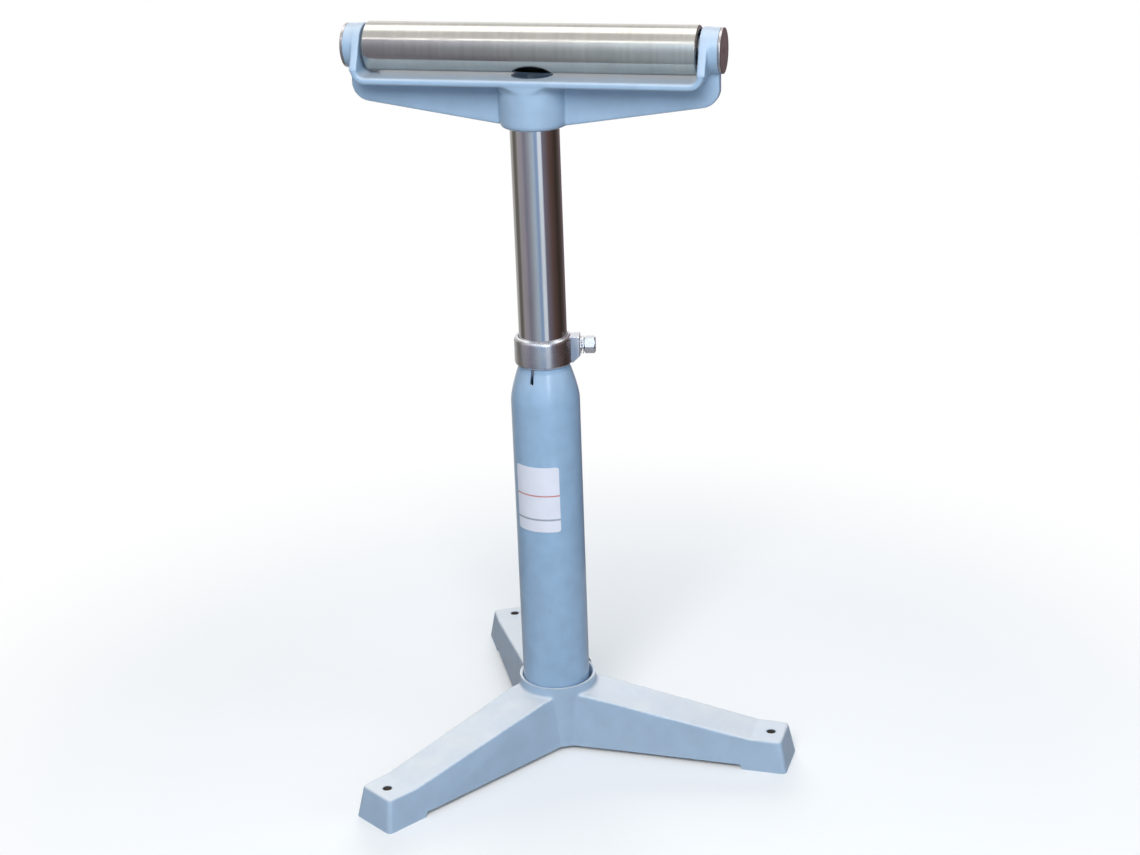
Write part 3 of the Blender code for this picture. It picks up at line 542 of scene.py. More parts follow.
base = {
    "legCount": 3, "legTurn": math.radians(-2.2), "legReach": 277 * mm,
    "footHalfWidth": 30 * mm, "footDraft": 6 * mm,
    "hubHalfWidth": 33.5 * mm, "hubDraft": 5 * mm,  # the legs widen towards the hub
    "draft": 8 * mm, "footHeight": 36.6 * mm, "footFlat": 35 * mm, "footCorner": 5 * mm,
    "hubHeight": 69 * mm, "hubFlatReach": 44 * mm, "hubRadius": 41 * mm, "crotchRadius": 10 * mm,
    "padHeight": 5.5 * mm, "padLength": 51 * mm, "padSlant": 3 * mm, "wall": 7 * mm, "roof": 8 * mm,
    "holeRadius": 5 * mm, "holeInset": 24 * mm, "holeChamfer": 0.9 * mm, "hollowInset": 2 * mm,
    "collarRadius": 44 * mm, "collarEdge": 0.8 * mm, "collarClearance": 2.3 * mm,
    "collarOffset": 1.9 * mm,  # the set screw pushes the tube over in its collar
    "socketRadius": 43.35 * mm, "socketDrop": 10 * mm, "sleeveInset": 0.8 * mm,
    "ledgeHeight": 6 * mm, "ledgeWidth": 4.5 * mm, "tubeWall": 2.6 * mm,
    "spare": 4 * mm,  # how far the rough casting reaches past what is machined off
    "hollowDepth": -0.2,  # how far below the floor the hollow's cutter starts, as a share of its height
    "grain": 1.45 * mm, "softening": 7,
}
collarTurn = base["legTurn"] + math.pi / base["legCount"]
flatStart = base["legReach"] - base["draft"] - base["footFlat"]  # where a leg's slope meets its foot
legTurns = [fullTurn * leg / base["legCount"] for leg in range(base["legCount"])]


def arcFrom(shape, vert, centre, angle, steps):
    swept = bmesh.ops.spin(shape, geom=[vert], cent=(centre[0], centre[1], vert.co.z), axis=(0, 0, 1),
                           angle=angle, steps=steps)
    return only(bmesh.types.BMVert, swept["geom_last"])[0]


def legRing(shape, halfWidth, rootHalf, reach, hubRadius, crotch, corner, level):
    # Plan of the three legs at one level: half a leg by lines and arcs, mirrored, then repeated
    known = set(shape.verts) | set(shape.edges)

    def drawn():
        return [item for item in list(shape.verts) + list(shape.edges) if item not in known]

    blend = Vector((math.sqrt((hubRadius + crotch) ** 2 - (rootHalf + crotch) ** 2), rootHalf + crotch))
    hubTouch = math.atan2(blend.y, blend.x)
    middle = shape.verts.new((reach, 0, level))
    cornerStart = shape.verts.new((reach, halfWidth - corner, level))
    shape.edges.new((middle, cornerStart))
    sideStart = arcFrom(shape, cornerStart, (reach - corner, halfWidth - corner), math.pi / 2, 4)
    crotchStart = shape.verts.new((blend.x, rootHalf, level))
    shape.edges.new((sideStart, crotchStart))
    hubStart = arcFrom(shape, crotchStart, blend, hubTouch - math.pi / 2, 7)
    arcFrom(shape, hubStart, (0, 0), math.pi / base["legCount"] - hubTouch, 3)
    bmesh.ops.mirror(shape, geom=drawn(), matrix=Matrix.Identity(4), merge_dist=mergeDistance, axis="Y")
    repeats = base["legCount"] - 1
    bmesh.ops.spin(shape, geom=drawn(), cent=(0, 0, 0), axis=(0, 0, 1), steps=repeats,
                   angle=fullTurn * repeats / base["legCount"], use_duplicate=True)
    bmesh.ops.remove_doubles(shape, verts=only(bmesh.types.BMVert, drawn()), dist=mergeDistance)
    return only(bmesh.types.BMEdge, drawn())


def legTop(along):
    # Height of a leg's top at a distance from the column: flat hub, slope, flat foot
    share = (along - base["hubFlatReach"]) / (flatStart - base["hubFlatReach"])
    return base["hubHeight"] - (base["hubHeight"] - base["footHeight"]) * min(max(share, 0), 1)


def legBlock(low, high, lowShare, drop):
    # Two plans joined by drafted walls, then bent down to the legs' slope less a drop
    shape = bmesh.new()
    lowRing = legRing(shape, *low, lowShare)
    highRing = legRing(shape, *high, 1)
    bmesh.ops.bridge_loops(shape, edges=lowRing + highRing)
    bmesh.ops.contextual_create(shape, geom=[edge for edge in lowRing if edge.is_valid])
    bmesh.ops.contextual_create(shape, geom=[edge for edge in highRing if edge.is_valid])
    directions = [Vector((math.cos(turn), math.sin(turn), 0)) for turn in legTurns]
    for direction in directions:
        for reach in (base["hubFlatReach"], flatStart):
            cutOff(shape, direction * reach, direction, keepBeyond=True)
    for vert in shape.verts:
        along = max(vert.co.dot(direction) for direction in directions)
        vert.co.z *= legTop(along) - drop
    bmesh.ops.triangulate(shape, faces=[face for face in shape.faces if len(face.verts) > 4])
    return shape


def makeBase():
    topHalf = base["footHalfWidth"] - base["footDraft"]
    topRoot = base["hubHalfWidth"] - base["hubDraft"]
    standing = upright @ turned(base["legTurn"])
    rough = legBlock(
        (base["footHalfWidth"], base["hubHalfWidth"], base["legReach"], base["hubRadius"],
         base["crotchRadius"], base["footCorner"]),
        (topHalf, topRoot, base["legReach"] - base["draft"], base["hubRadius"], base["crotchRadius"],
         base["footCorner"]), -base["spare"] / base["footHeight"], 0)
    shift = Matrix.Translation((base["collarOffset"], 0, 0))
    offCentre = upright @ turned(collarTurn) @ shift
    over = baseTop + base["spare"]
    collar = spun([(0, over), (base["collarRadius"], over), (base["collarRadius"], base["hubHeight"]),
                   (base["socketRadius"], base["hubHeight"] - base["socketDrop"]),
                   (base["socketRadius"], -base["spare"]), (0, -base["spare"])], 128)
    raw = gathered([placed(rough, standing), placed(collar, offCentre)])
    piece = cast(closedObject("base", raw), base["grain"], base["softening"])
    trimmed(piece, [((0, 0, baseTop), (0, 0, 1)), ((0, 0, 0), (0, 0, -1))])
    innerReach = base["legReach"] - base["padLength"] - base["wall"]
    hollow = legBlock(
        (base["footHalfWidth"] - base["wall"], base["hubHalfWidth"] - base["wall"], innerReach,
         base["hubRadius"] - base["hollowInset"], base["crotchRadius"] + base["wall"], base["footCorner"]),
        (topHalf - base["wall"], topRoot - base["wall"], innerReach - base["wall"] / 2,
         base["hubRadius"] - base["draft"], base["crotchRadius"] + base["wall"], base["footCorner"]),
        base["hollowDepth"], base["roof"])
    relief = bmesh.new()
    spread = 1 / math.cos(math.pi / base["legCount"])
    padStart = base["legReach"] - base["padLength"]
    bmesh.ops.create_cone(relief, cap_ends=True, segments=base["legCount"],
                          radius1=(padStart + base["padSlant"]) * spread,
                          radius2=(padStart - base["padSlant"]) * spread, depth=2 * base["padHeight"])
    facing = turned(math.pi / base["legCount"] - math.pi / 2)
    socketBore = tubeRadius + seatGap
    socketLow = base["padHeight"] + base["ledgeHeight"]
    ledgeBore = tubeRadius - base["tubeWall"] - base["ledgeWidth"]
    openLow = base["hubHeight"] - base["roof"]
    innerWall = sleeve(ledgeBore - base["spare"], base["collarRadius"] - base["sleeveInset"],
                       base["padHeight"] / 2, base["hubHeight"] - base["roof"] / 2, 0, 112)
    clearance = tubeRadius + base["collarClearance"]
    mouth = spun([(0, over), (clearance + base["collarEdge"] + base["spare"], over),
                  (clearance, baseTop - base["collarEdge"]), (clearance, openLow), (0, openLow)], 128)
    bore = spun([(0, base["hubHeight"]), (socketBore, base["hubHeight"]), (socketBore, socketLow),
                 (ledgeBore, socketLow), (ledgeBore, -base["spare"]), (0, -base["spare"])], 120)
    tools = [cut(hollow, standing), joined(innerWall, offCentre), cut(relief, standing @ facing),
             cut(mouth, offCentre), cut(bore, upright)]
    inset = base["legReach"] - base["holeInset"]
    hole, footTop = base["holeRadius"], base["footHeight"]
    lip = hole + base["holeChamfer"] + base["spare"]
    footHoles = [Matrix.Translation(column + Vector((inset * math.cos(turn + base["legTurn"]),
                                                     inset * math.sin(turn + base["legTurn"]), 0)))
                 for turn in legTurns]
    for spot in footHoles:
        drill = spun([(0, footTop + base["spare"]), (lip, footTop + base["spare"]),
                      (hole, footTop - base["holeChamfer"]), (hole, -base["spare"]),
                      (0, -base["spare"])], 40)
        tools.append(cut(drill, spot))
    screwHole = bar(collarScrew["radius"] + seatGap, tubeRadius + seatGap,
                    base["collarRadius"] + base["spare"], 0, 32)
    tools.append(cut(screwHole, collarScrewPlace()))
    machined(piece, tools)
    finished(piece, "base_casting", "base", [baseEnamel, nearBlackHoleWall], castSharpAngle)
    for spot in footHoles:
        for face in piece.data.polygons:
            away = face.center - spot.translation
            if away.xy.length < hole + seatGap and away.z < footTop - base["holeChamfer"]:
                face.material_index = 1  # the drilled wall is coloured near black


collarScrew = {"radius": 4 * mm, "head": 9.5 * mm, "headHeight": 5 * mm, "chamfer": 0.5 * mm}


def collarScrewPlace():
    return outward((base["hubHeight"] + baseTop) / 2, collarTurn)


def makeCollarScrew():
    tip = tubeRadius + seatGap
    seat = base["collarRadius"] + base["collarOffset"] + seatGap
    shank = bar(collarScrew["radius"], tip, seat + collarScrew["headHeight"] / 2, collarScrew["chamfer"],
                48)
    piece = closedObject("collarScrew", placed(shank, collarScrewPlace()))
    head = hexHead(collarScrew["head"], seat, seat + collarScrew["headHeight"], collarScrew["chamfer"])
    machined(piece, [joined(head, collarScrewPlace())])
    finished(piece, "collar_set_screw", "base", [blackOxide])


makeBase()
makeCollarScrew()
print("base ready")


# Outer tube with its swaged, slit neck

tube = {
    "wall": 2.6 * mm, "bodyLength": 409 * mm, "coneLength": 37 * mm, "neckWall": 1.9 * mm,
    "curvePower": 1.35, "coneSteps": 12, "slits": 2, "slitWidth": 4.2 * mm, "slitLength": 45 * mm,
    "slitTurn": math.radians(-100.3), "rimRound": 0.6 * mm, "spare": 2 * mm,
}


def makeOuterTube():
    radius = tubeRadius
    neckBore = mastRadius + seatGap
    neckStart = tubeLow.z + tube["bodyLength"]
    shares = [step / tube["coneSteps"] for step in range(1, tube["coneSteps"] + 1)]
    wallShift = (tube["wall"] + tube["neckWall"]) / 2

    def swaged(wideRadius, narrowRadius, start, share, shift):
        narrowing = (wideRadius - narrowRadius) * share ** tube["curvePower"]
        return wideRadius - narrowing, start + tube["coneLength"] * share - shift

    outside = [swaged(radius, neckBore + tube["neckWall"], neckStart, share, 0) for share in shares]
    inside = [swaged(radius - tube["wall"], neckBore, neckStart, share, wallShift / 2) for share in shares]
    profile = ([(neckBore + tube["neckWall"], tubeHigh.z, tube["rimRound"])] + outside[::-1]
               + [(radius, neckStart), (radius, tubeLow.z, tube["rimRound"]),
                  (radius - tube["wall"], tubeLow.z), (radius - tube["wall"], neckStart - wallShift)]
               + inside + [(neckBore, tubeHigh.z)])
    piece = closedObject("outerTube", placed(spun(profile, 144), upright))
    cutters = []
    slotFoot = tubeHigh.z - tube["slitLength"] + tube["slitWidth"] / 2
    for slit in range(tube["slits"]):
        turn = upright @ turned(tube["slitTurn"] + fullTurn * slit / tube["slits"])
        end = placed(bar(tube["slitWidth"] / 2, radius / 2, radius * 1.5, 0, 32),
                     Matrix.Translation((0, 0, slotFoot)) @ quarterTurn)
        top = tubeHigh.z + tube["spare"]
        side = block((radius, tube["slitWidth"], top - slotFoot), (radius, 0, (top + slotFoot) / 2))
        cutters += [cut(end, turn), cut(side, turn)]
    machined(piece, cutters)
    finished(piece, "outer_tube", "base", [tubeEnamel])


makeOuterTube()
print("outer tube ready")


# Clamp ring, locknut and screw

clamp = {
    "turn": math.radians(12.3), "wall": 3 * mm, "topBevel": 4.5 * mm, "edge": 1 * mm,
    "lipBevel": 3.4 * mm, "lipRound": 2 * mm, "footBevel": 2 * mm, "footRound": 1.2 * mm,
    "lugThickness": 17 * mm, "lugReach": 8.5 * mm, "lugFootRise": 8 * mm, "lugTopFall": 1.5 * mm,
    "threadRadius": 5 * mm, "spanner": 17 * mm, "nutHeight": 3.6 * mm, "headHeight": 12.5 * mm,
    "chamfer": 0.9 * mm, "spare": 4 * mm,
}


def clampPlace():
    return outward(ringHigh.z - clamp["topBevel"] - clamp["spanner"] / 2, clamp["turn"])


def makeClamp():
    neckRadius = mastRadius + seatGap + tube["neckWall"]
    ringRadius = neckRadius + seatGap + clamp["wall"]
    low, high = ringLow.z, ringHigh.z
    lip, foot = clamp["lipBevel"], clamp["footBevel"]
    ring = spun([(0, high), (ringRadius - lip, high, clamp["lipRound"]),
                 (ringRadius, high - lip, clamp["lipRound"]), (ringRadius, low + foot, clamp["footRound"]),
                 (ringRadius - foot, low, clamp["footRound"]), (0, low)], 144)
    lugEnd = ringRadius + clamp["lugReach"]
    thick = clamp["lugThickness"]
    rootLow, rootHigh = low + clamp["edge"], high - clamp["lugTopFall"]
    endLow = low + clamp["lugFootRise"]
    root = block((mastRadius / 2, thick, rootHigh - rootLow), (mastRadius, 0, (rootHigh + rootLow) / 2),
                 clamp["edge"])
    end = block((clamp["lugReach"] / 2, thick, rootHigh - endLow),
                (lugEnd - clamp["lugReach"] / 4, 0, (rootHigh + endLow) / 2), clamp["edge"])
    lug = placed(hullOf([root, end]), turned(clamp["turn"]))
    piece = closedObject("clampRing", placed(ring, upright))
    mouth = mastRadius + 2 * seatGap
    over = clamp["spare"]
    bore = spun([(0, high + over), (mouth + clamp["edge"] + over, high + over),
                 (mouth, high - clamp["edge"]), (mouth, tubeHigh.z + seatGap),
                 (neckRadius + seatGap, tubeHigh.z + seatGap),
                 (neckRadius + seatGap, low - over), (0, low - over)], 128)
    thread = bar(clamp["threadRadius"] + seatGap, mastRadius, lugEnd + over, 0, 48)
    machined(piece, [joined(lug, upright), cut(bore, upright), cut(thread, clampPlace())])
    finished(piece, "clamp_ring", "base", [zinc])

    nutLow = lugEnd + seatGap
    nutHigh = nutLow + clamp["nutHeight"]
    nut = closedObject("locknut", placed(hexHead(clamp["spanner"], nutLow, nutHigh, clamp["chamfer"]),
                                         clampPlace()))
    hole = bar(clamp["threadRadius"] + seatGap, nutLow - over, nutHigh + over, 0, 48)
    machined(nut, [cut(hole, clampPlace())])
    finished(nut, "clamp_locknut", "base", [zinc])

    headLow = nutHigh + seatGap
    headHigh = headLow + clamp["headHeight"]
    screw = closedObject("clampScrew", placed(bar(clamp["threadRadius"], neckRadius + seatGap,
                                                  headLow + clamp["headHeight"] / 2, clamp["chamfer"], 48),
                                              clampPlace()))
    head = hexHead(clamp["spanner"], headLow, headHigh, clamp["chamfer"])
    machined(screw, [joined(head, clampPlace())])
    finished(screw, "clamp_screw", "clamp_screw", [zinc])


makeClamp()
print("clamp ready")


# Mast, its guide bush and its stop

mast = {
    "wall": 4 * mm, "rim": 0.8 * mm, "grooveDepth": 1 * mm, "snapHeight": 2 * mm, "snapWidth": 3 * mm,
    "snapOpening": math.radians(30), "flangeHeight": 5 * mm, "flangeWidth": 5 * mm,
    "spigotLength": 18 * mm, "spigotBore": 24 * mm, "bushWallGap": 0.35 * mm, "bushChamfer": 0.8 * mm,
}


def makeMast():
    radius = mastRadius
    bore = radius - mast["wall"]
    bushLow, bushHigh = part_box("guide_bush")
    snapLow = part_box("mast_snap_ring")[0].z
    grooveLow = snapLow - seatGap
    grooveHigh = snapLow + mast["snapHeight"] + seatGap
    groove = radius - mast["grooveDepth"]
    turnedPiece("mast_tube", "mast", chrome, [
        (radius, mastHigh.z, mast["rim"]), (radius, grooveHigh), (groove, grooveHigh), (groove, grooveLow),
        (radius, grooveLow), (radius, mastLow.z), (bore, mastLow.z), (bore, mastHigh.z)], steps=144)
    turnedPiece("mast_snap_ring", "mast", blackOxide, [
        (groove + seatGap, snapLow + mast["snapHeight"], seatGap),
        (groove + seatGap + mast["snapWidth"], snapLow + mast["snapHeight"], seatGap),
        (groove + seatGap + mast["snapWidth"], snapLow, seatGap), (groove + seatGap, snapLow, seatGap)],
        steps=120, sweep=fullTurn - mast["snapOpening"])
    flangeTop = mastLow.z - seatGap
    flangeLow = flangeTop - mast["flangeHeight"]
    edge = mast["rim"]
    turnedPiece("mast_foot_flange", "mast", blackOxide, [
        (bore - seatGap, flangeTop + mast["spigotLength"], edge), (bore - seatGap, flangeTop),
        (radius + mast["flangeWidth"], flangeTop, edge), (radius + mast["flangeWidth"], flangeLow, edge),
        (mast["spigotBore"] / 2, flangeLow, edge),
        (mast["spigotBore"] / 2, flangeTop + mast["spigotLength"])], steps=128)
    bushOuter = tubeRadius - tube["wall"] - mast["bushWallGap"]
    chamfer = mast["bushChamfer"]
    turnedPiece("guide_bush", "guide", guideNylon, [
        (radius + seatGap, bushHigh.z, chamfer), (bushOuter, bushHigh.z, chamfer),
        (bushOuter, bushLow.z, chamfer), (radius + seatGap, bushLow.z, chamfer)], steps=128)


makeMast()
print("mast ready")


# Yoke casting

yoke = {
    "strapWidth": 73 * mm, "strapThickness": 8.5 * mm, "corner": 8 * mm, "edgeRound": 2.5 * mm,
    "bossRadius": 36 * mm, "bossDrop": 45 * mm, "bossRound": 5 * mm, "web": 12 * mm,
    "webEndDepth": 22 * mm, "webCorner": 20 * mm, "endBossRadius": 23.3 * mm, "endBossLength": 10 * mm,
    "margin": 0.6 * mm, "sideGap": 3 * mm, "axleRadius": 10 * mm, "faceChamfer": 1 * mm,
    "screwRadius": 4 * mm, "screwLength": 12 * mm, "screwSocket": 4 * mm, "screwChamfer": 0.5 * mm,
    # the countersink over the set screw's socket, below and above the screw's end
    "sinkOver": 1 * mm, "sinkFlare": 1.2 * mm, "sinkDepth": 0.4 * mm, "sinkInset": 0.2 * mm,
    "spare": 3 * mm,
    "flareWidth": 5 * mm, "flareDrop": 6 * mm, "flareBend": 0.35, "grain": 1.2 * mm, "softening": 6,
    "strapLift": 1.2 * mm,  # the strap's underside stands this far above the boss's root
    "holeRadius": 21.5 * mm, "holeChamfer": 0.8 * mm,  # the strap's hole over the mast's end
    "overlap": 2 * mm,  # how deep shapes that melt together reach into each other
    "webInset": 6 * mm, "webCap": 3 * mm, "ribCut": 1.5 * mm, "footing": 1 * mm, "flareTrim": 0.4 * mm,
}
rollerHalf = (rollerHigh.x - rollerLow.x) / 2
uprightInner = rollerHalf + yoke["sideGap"]
uprightOuter = uprightInner + yoke["strapThickness"]
endBossFace = uprightOuter + yoke["endBossLength"]
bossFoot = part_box("head_yoke")[0].z
strapLow = bossFoot + yoke["bossDrop"]
strapTop = strapLow + yoke["strapThickness"]


def disc(radius, start, end, centre, steps=96):
    # A round plate across X, from start to end along it
    shape = bar(radius, start, end, 0, steps)
    return placed(shape, Matrix.Translation(centre) @ quarterTurn)


def strapBend():
    # Half of the strap: a rounded section run out along X, then spun up round the corner
    shape = bmesh.new()
    underside = strapLow + yoke["strapLift"]
    laid = (Matrix.Translation((0, 0, (underside + strapTop) / 2)) @ quarterTurn
            @ Matrix.Diagonal((strapTop - underside, yoke["strapWidth"], 1, 1)))
    bmesh.ops.create_grid(shape, x_segments=1, y_segments=1, size=0.5, matrix=laid)
    bmesh.ops.bevel(shape, geom=shape.verts, offset=yoke["edgeRound"], segments=roundSteps, profile=0.5,
                    affect="VERTICES", material=-1)
    run = bmesh.ops.extrude_face_region(shape, geom=shape.faces[:])["geom"]
    straight = uprightInner - yoke["corner"]
    bmesh.ops.translate(shape, verts=only(bmesh.types.BMVert, run), vec=(straight, 0, 0))
    bmesh.ops.spin(shape, geom=only(bmesh.types.BMFace, run), cent=(straight, 0, strapTop + yoke["corner"]),
                   axis=(0, 1, 0), angle=-math.pi / 2, steps=10)
    return shape


def uprightPlate():
    # A plate that tapers up to a round head
    thick = yoke["strapThickness"]
    head = disc(yoke["endBossRadius"] + yoke["margin"], uprightInner, uprightOuter, (0, 0, axleHeight))
    footing = block((thick, yoke["strapWidth"], yoke["footing"]),
                    ((uprightInner + uprightOuter) / 2, 0, strapTop + yoke["corner"]))
    return hullOf([head, footing])


def webPlate():
    # The rib under the strap, from the mast boss out to a rounded corner, and on up the upright's outside
    wide, deep, cap = yoke["web"], yoke["overlap"], yoke["webCap"]
    reach = endBossFace - yoke["faceChamfer"]
    low = strapLow - yoke["webEndDepth"]
    corner = (Matrix.Translation((reach - yoke["webCorner"], 0, low + yoke["webCorner"]))
              @ Matrix.Rotation(math.pi / 2, 4, "X"))
    bossSide = block((deep, wide, yoke["bossDrop"] + deep),
                     (yoke["bossRadius"] - yoke["webInset"], 0, (strapLow + bossFoot) / 2 + deep))
    strapLine = block((deep, wide, deep), (uprightOuter - cap, 0, strapLow + deep))
    top = block((yoke["endBossLength"], wide, deep), (reach - yoke["endBossLength"] / 2, 0, axleHeight))
    rounds = [placed(bar(yoke["webCorner"], -wide / 2, wide / 2, 0, 96), corner) for _ in range(2)]
    under = hullOf([bossSide, rounds[0], strapLine])
    cutOff(under, (0, 0, strapLow + cap), (0, 0, 1))
    rib = hullOf([rounds[1], top])
    cutOff(rib, (uprightInner + yoke["ribCut"], 0, 0), (-1, 0, 0))
    return gathered([under, rib])


def makeYoke():
    bossTop = strapLow + yoke["strapThickness"] / 2
    halfShapes = [strapBend(), uprightPlate(), webPlate(),
                  disc(yoke["endBossRadius"], uprightOuter - yoke["overlap"],
                       endBossFace + yoke["spare"], (0, 0, axleHeight))]
    right = gathered(halfShapes)
    bmesh.ops.recalc_face_normals(right, faces=right.faces)
    left = right.copy()
    bmesh.ops.scale(left, vec=(-1, 1, 1), verts=left.verts)
    bmesh.ops.reverse_faces(left, faces=left.faces)
    radius, wider, deeper = yoke["bossRadius"], yoke["flareWidth"], yoke["flareDrop"]
    boss = spun([(0, bossTop), (radius, bossTop), (radius, bossFoot, yoke["bossRound"]), (0, bossFoot)],
                128)
    flareTop = strapLow + yoke["overlap"] / 2
    flare = spun([(0, flareTop), (radius + wider, flareTop),
                  (radius + wider * yoke["flareBend"], strapLow - deeper * yoke["flareBend"]),
                  (radius, strapLow - deeper), (0, strapLow - deeper)], 96)
    for side in (1, -1):
        edge = Vector((0, side * (yoke["strapWidth"] / 2 - yoke["flareTrim"]), 0))
        cutOff(flare, edge, edge.normalized())
    piece = closedObject("yoke", placed(gathered([left, right, boss, flare]), upright))
    cast(piece, yoke["grain"], yoke["softening"])
    trimmed(piece, [(column + Vector((endBossFace, 0, 0)), (1, 0, 0)),
                    (column - Vector((endBossFace, 0, 0)), (-1, 0, 0))])
    hole, over = yoke["holeRadius"], yoke["spare"]
    mastBore = spun([(0, strapTop + over), (hole + yoke["holeChamfer"] + over, strapTop + over),
                     (hole, strapTop - yoke["holeChamfer"]), (hole, mastHigh.z + seatGap),
                     (mastRadius + seatGap, mastHigh.z + seatGap),
                     (mastRadius + seatGap, bossFoot - over), (0, bossFoot - over)], 128)
    screwHole = bar(yoke["screwRadius"] + seatGap, mastRadius, radius + over, 0, 40)
    axleBore = bar(yoke["axleRadius"] + seatGap, -endBossFace - over, endBossFace + over, 0, 80)
    machined(piece, [cut(mastBore, upright), cut(screwHole, headScrewPlace()), cut(axleBore, alongAxle)])
    finished(piece, "head_yoke", "mast", [headEnamel], castSharpAngle)


def headScrewPlace():
    return outward(bossFoot + yoke["bossDrop"] / 2, math.pi / 2)


def makeHeadScrew():
    tip = mastRadius + seatGap
    end = tip + yoke["screwLength"]
    piece = closedObject("headScrew", placed(bar(yoke["screwRadius"], tip, end, yoke["screwChamfer"], 48),
                                             headScrewPlace()))
    corner = yoke["screwSocket"] / math.sqrt(3)
    socket = bmesh.new()
    bmesh.ops.create_cone(socket, cap_ends=True, segments=6, radius1=corner, radius2=corner,
                          depth=yoke["screwSocket"], matrix=Matrix.Translation((0, 0, end)))
    over, flare = yoke["sinkOver"], yoke["sinkFlare"]
    depth, inset = yoke["sinkDepth"], yoke["sinkInset"]
    countersink = spun([(0, end + over), (corner + flare, end + over),
                        (corner - inset, end - depth), (0, end - depth)], 48)
    machined(piece, [cut(socket, headScrewPlace()), cut(countersink, headScrewPlace())])
    finished(piece, "head_set_screw", "mast", [blackOxide])


makeYoke()
makeHeadScrew()
print("yoke ready")


# Roller, axle, caps and bearings

rollerSet = {
    "bore": 19 * mm, "chamfer": 1.2 * mm, "bearingRadius": 21 * mm, "bearingWidth": 12 * mm,
    "recess": 4 * mm, "clipThickness": 1.5 * mm, "clipWidth": 3.4 * mm, "clipGroove": 1 * mm,
    "clipOpening": math.radians(40), "capThickness": 3 * mm, "capSpigot": 7.5 * mm, "capEdge": 0.9 * mm,
    "capRadius": 23.3 * mm, "capDish": 0.5 * mm, "axleChamfer": 1 * mm, "spacerWall": 3.6 * mm,
    "spacerRound": 0.4 * mm, "spigotRound": 0.8 * mm,
    "landShare": 0.31, "balls": 9, "ballRadius": 3.175 * mm, "ballPlay": 0.15 * mm, "cageWall": 2.2 * mm,
    "cageHeight": 4.4 * mm, "sealThickness": 0.9 * mm, "sealInset": 0.5 * mm, "ringRound": 0.5 * mm,
    "fine": 0.3 * mm, "ringFine": 0.15 * mm, "clipRound": 0.2 * mm, "pocketPlay": 0.06 * mm,
    # the circlip's ears: size, hole, place in from the ring's end and from its inner edge
    "earRadius": 1.9 * mm, "earHole": 0.8 * mm, "earTurn": math.radians(5), "earReach": 0.2 * mm,
    "earRound": 0.15 * mm, "earFlush": 0.01 * mm, "earHoleShift": 0.3 * mm,
    # the seals' stiffening ridges: share of the seal's width and depth in dishes
    "sealDish": 0.25 * mm, "sealRidges": [(0.16, 0), (0.24, 1), (0.66, 1), (0.74, 0)],
    # the caps' turned faces: share of the radius, depth in dishes and rounding
    "capRings": [(0, 1, 0), (0.12, 1, 0.2 * mm), (0.14, 1.6, 0.2 * mm), (0.2, 1, 0.3 * mm),
                 (0.82, 0.4, 0.3 * mm), (0.86, 0, 0.3 * mm)],
}


def makeRoller():
    radius = (rollerHigh.z - rollerLow.z) / 2
    seat = rollerSet["bearingRadius"] + seatGap
    seatDepth = rollerSet["recess"] + rollerSet["bearingWidth"] + seatGap
    grooveOut = rollerHalf - rollerSet["recess"] + seatGap
    grooveIn = grooveOut + rollerSet["clipThickness"] + seatGap
    groove = seat + rollerSet["clipGroove"]
    chamfer, fine = rollerSet["chamfer"], rollerSet["fine"]
    end = [(rollerSet["bore"], rollerHalf - seatDepth), (seat, rollerHalf - seatDepth), (seat, grooveOut),
           (groove, grooveOut), (groove, grooveIn), (seat, grooveIn), (seat, rollerHalf, fine),
           (radius - chamfer, rollerHalf, fine), (radius, rollerHalf - chamfer, fine)]
    otherEnd = [(point[0], -point[1], *point[2:]) for point in reversed(end)]
    turnedPiece("roller_tube", "roller", rollerSteel, end + otherEnd, alongAxle, 160)


def makeCirclip(side, place):
    # Internal circlip: an open ring whose ends carry drilled ears
    outer = rollerSet["bearingRadius"] + rollerSet["clipGroove"]
    inner = rollerSet["bearingRadius"] + seatGap - rollerSet["clipWidth"] + rollerSet["clipGroove"]
    low = rollerHalf - rollerSet["recess"] + 1.5 * seatGap
    high = low + rollerSet["clipThickness"]
    sweep = fullTurn - rollerSet["clipOpening"]
    over = rollerSet["clipThickness"]
    ring = sleeve(inner, outer, low, high, rollerSet["clipRound"], 90, sweep)
    piece = closedObject("circlip", placed(ring, place))
    reach, flush = inner + rollerSet["earReach"], rollerSet["earFlush"]
    ends = [place @ turned(turn) for turn in (rollerSet["earTurn"], sweep - rollerSet["earTurn"])]
    ears = [joined(bar(rollerSet["earRadius"], low + flush, high - flush, rollerSet["earRound"], 32),
                   end @ Matrix.Translation((reach, 0, 0))) for end in ends]
    holes = [cut(bar(rollerSet["earHole"], low - over, high + over, 0, 24),
                 end @ Matrix.Translation((reach - rollerSet["earHoleShift"], 0, 0))) for end in ends]
    machined(piece, ears + holes)
    finished(piece, "bearing_circlip_" + side, "roller", [blackOxide])


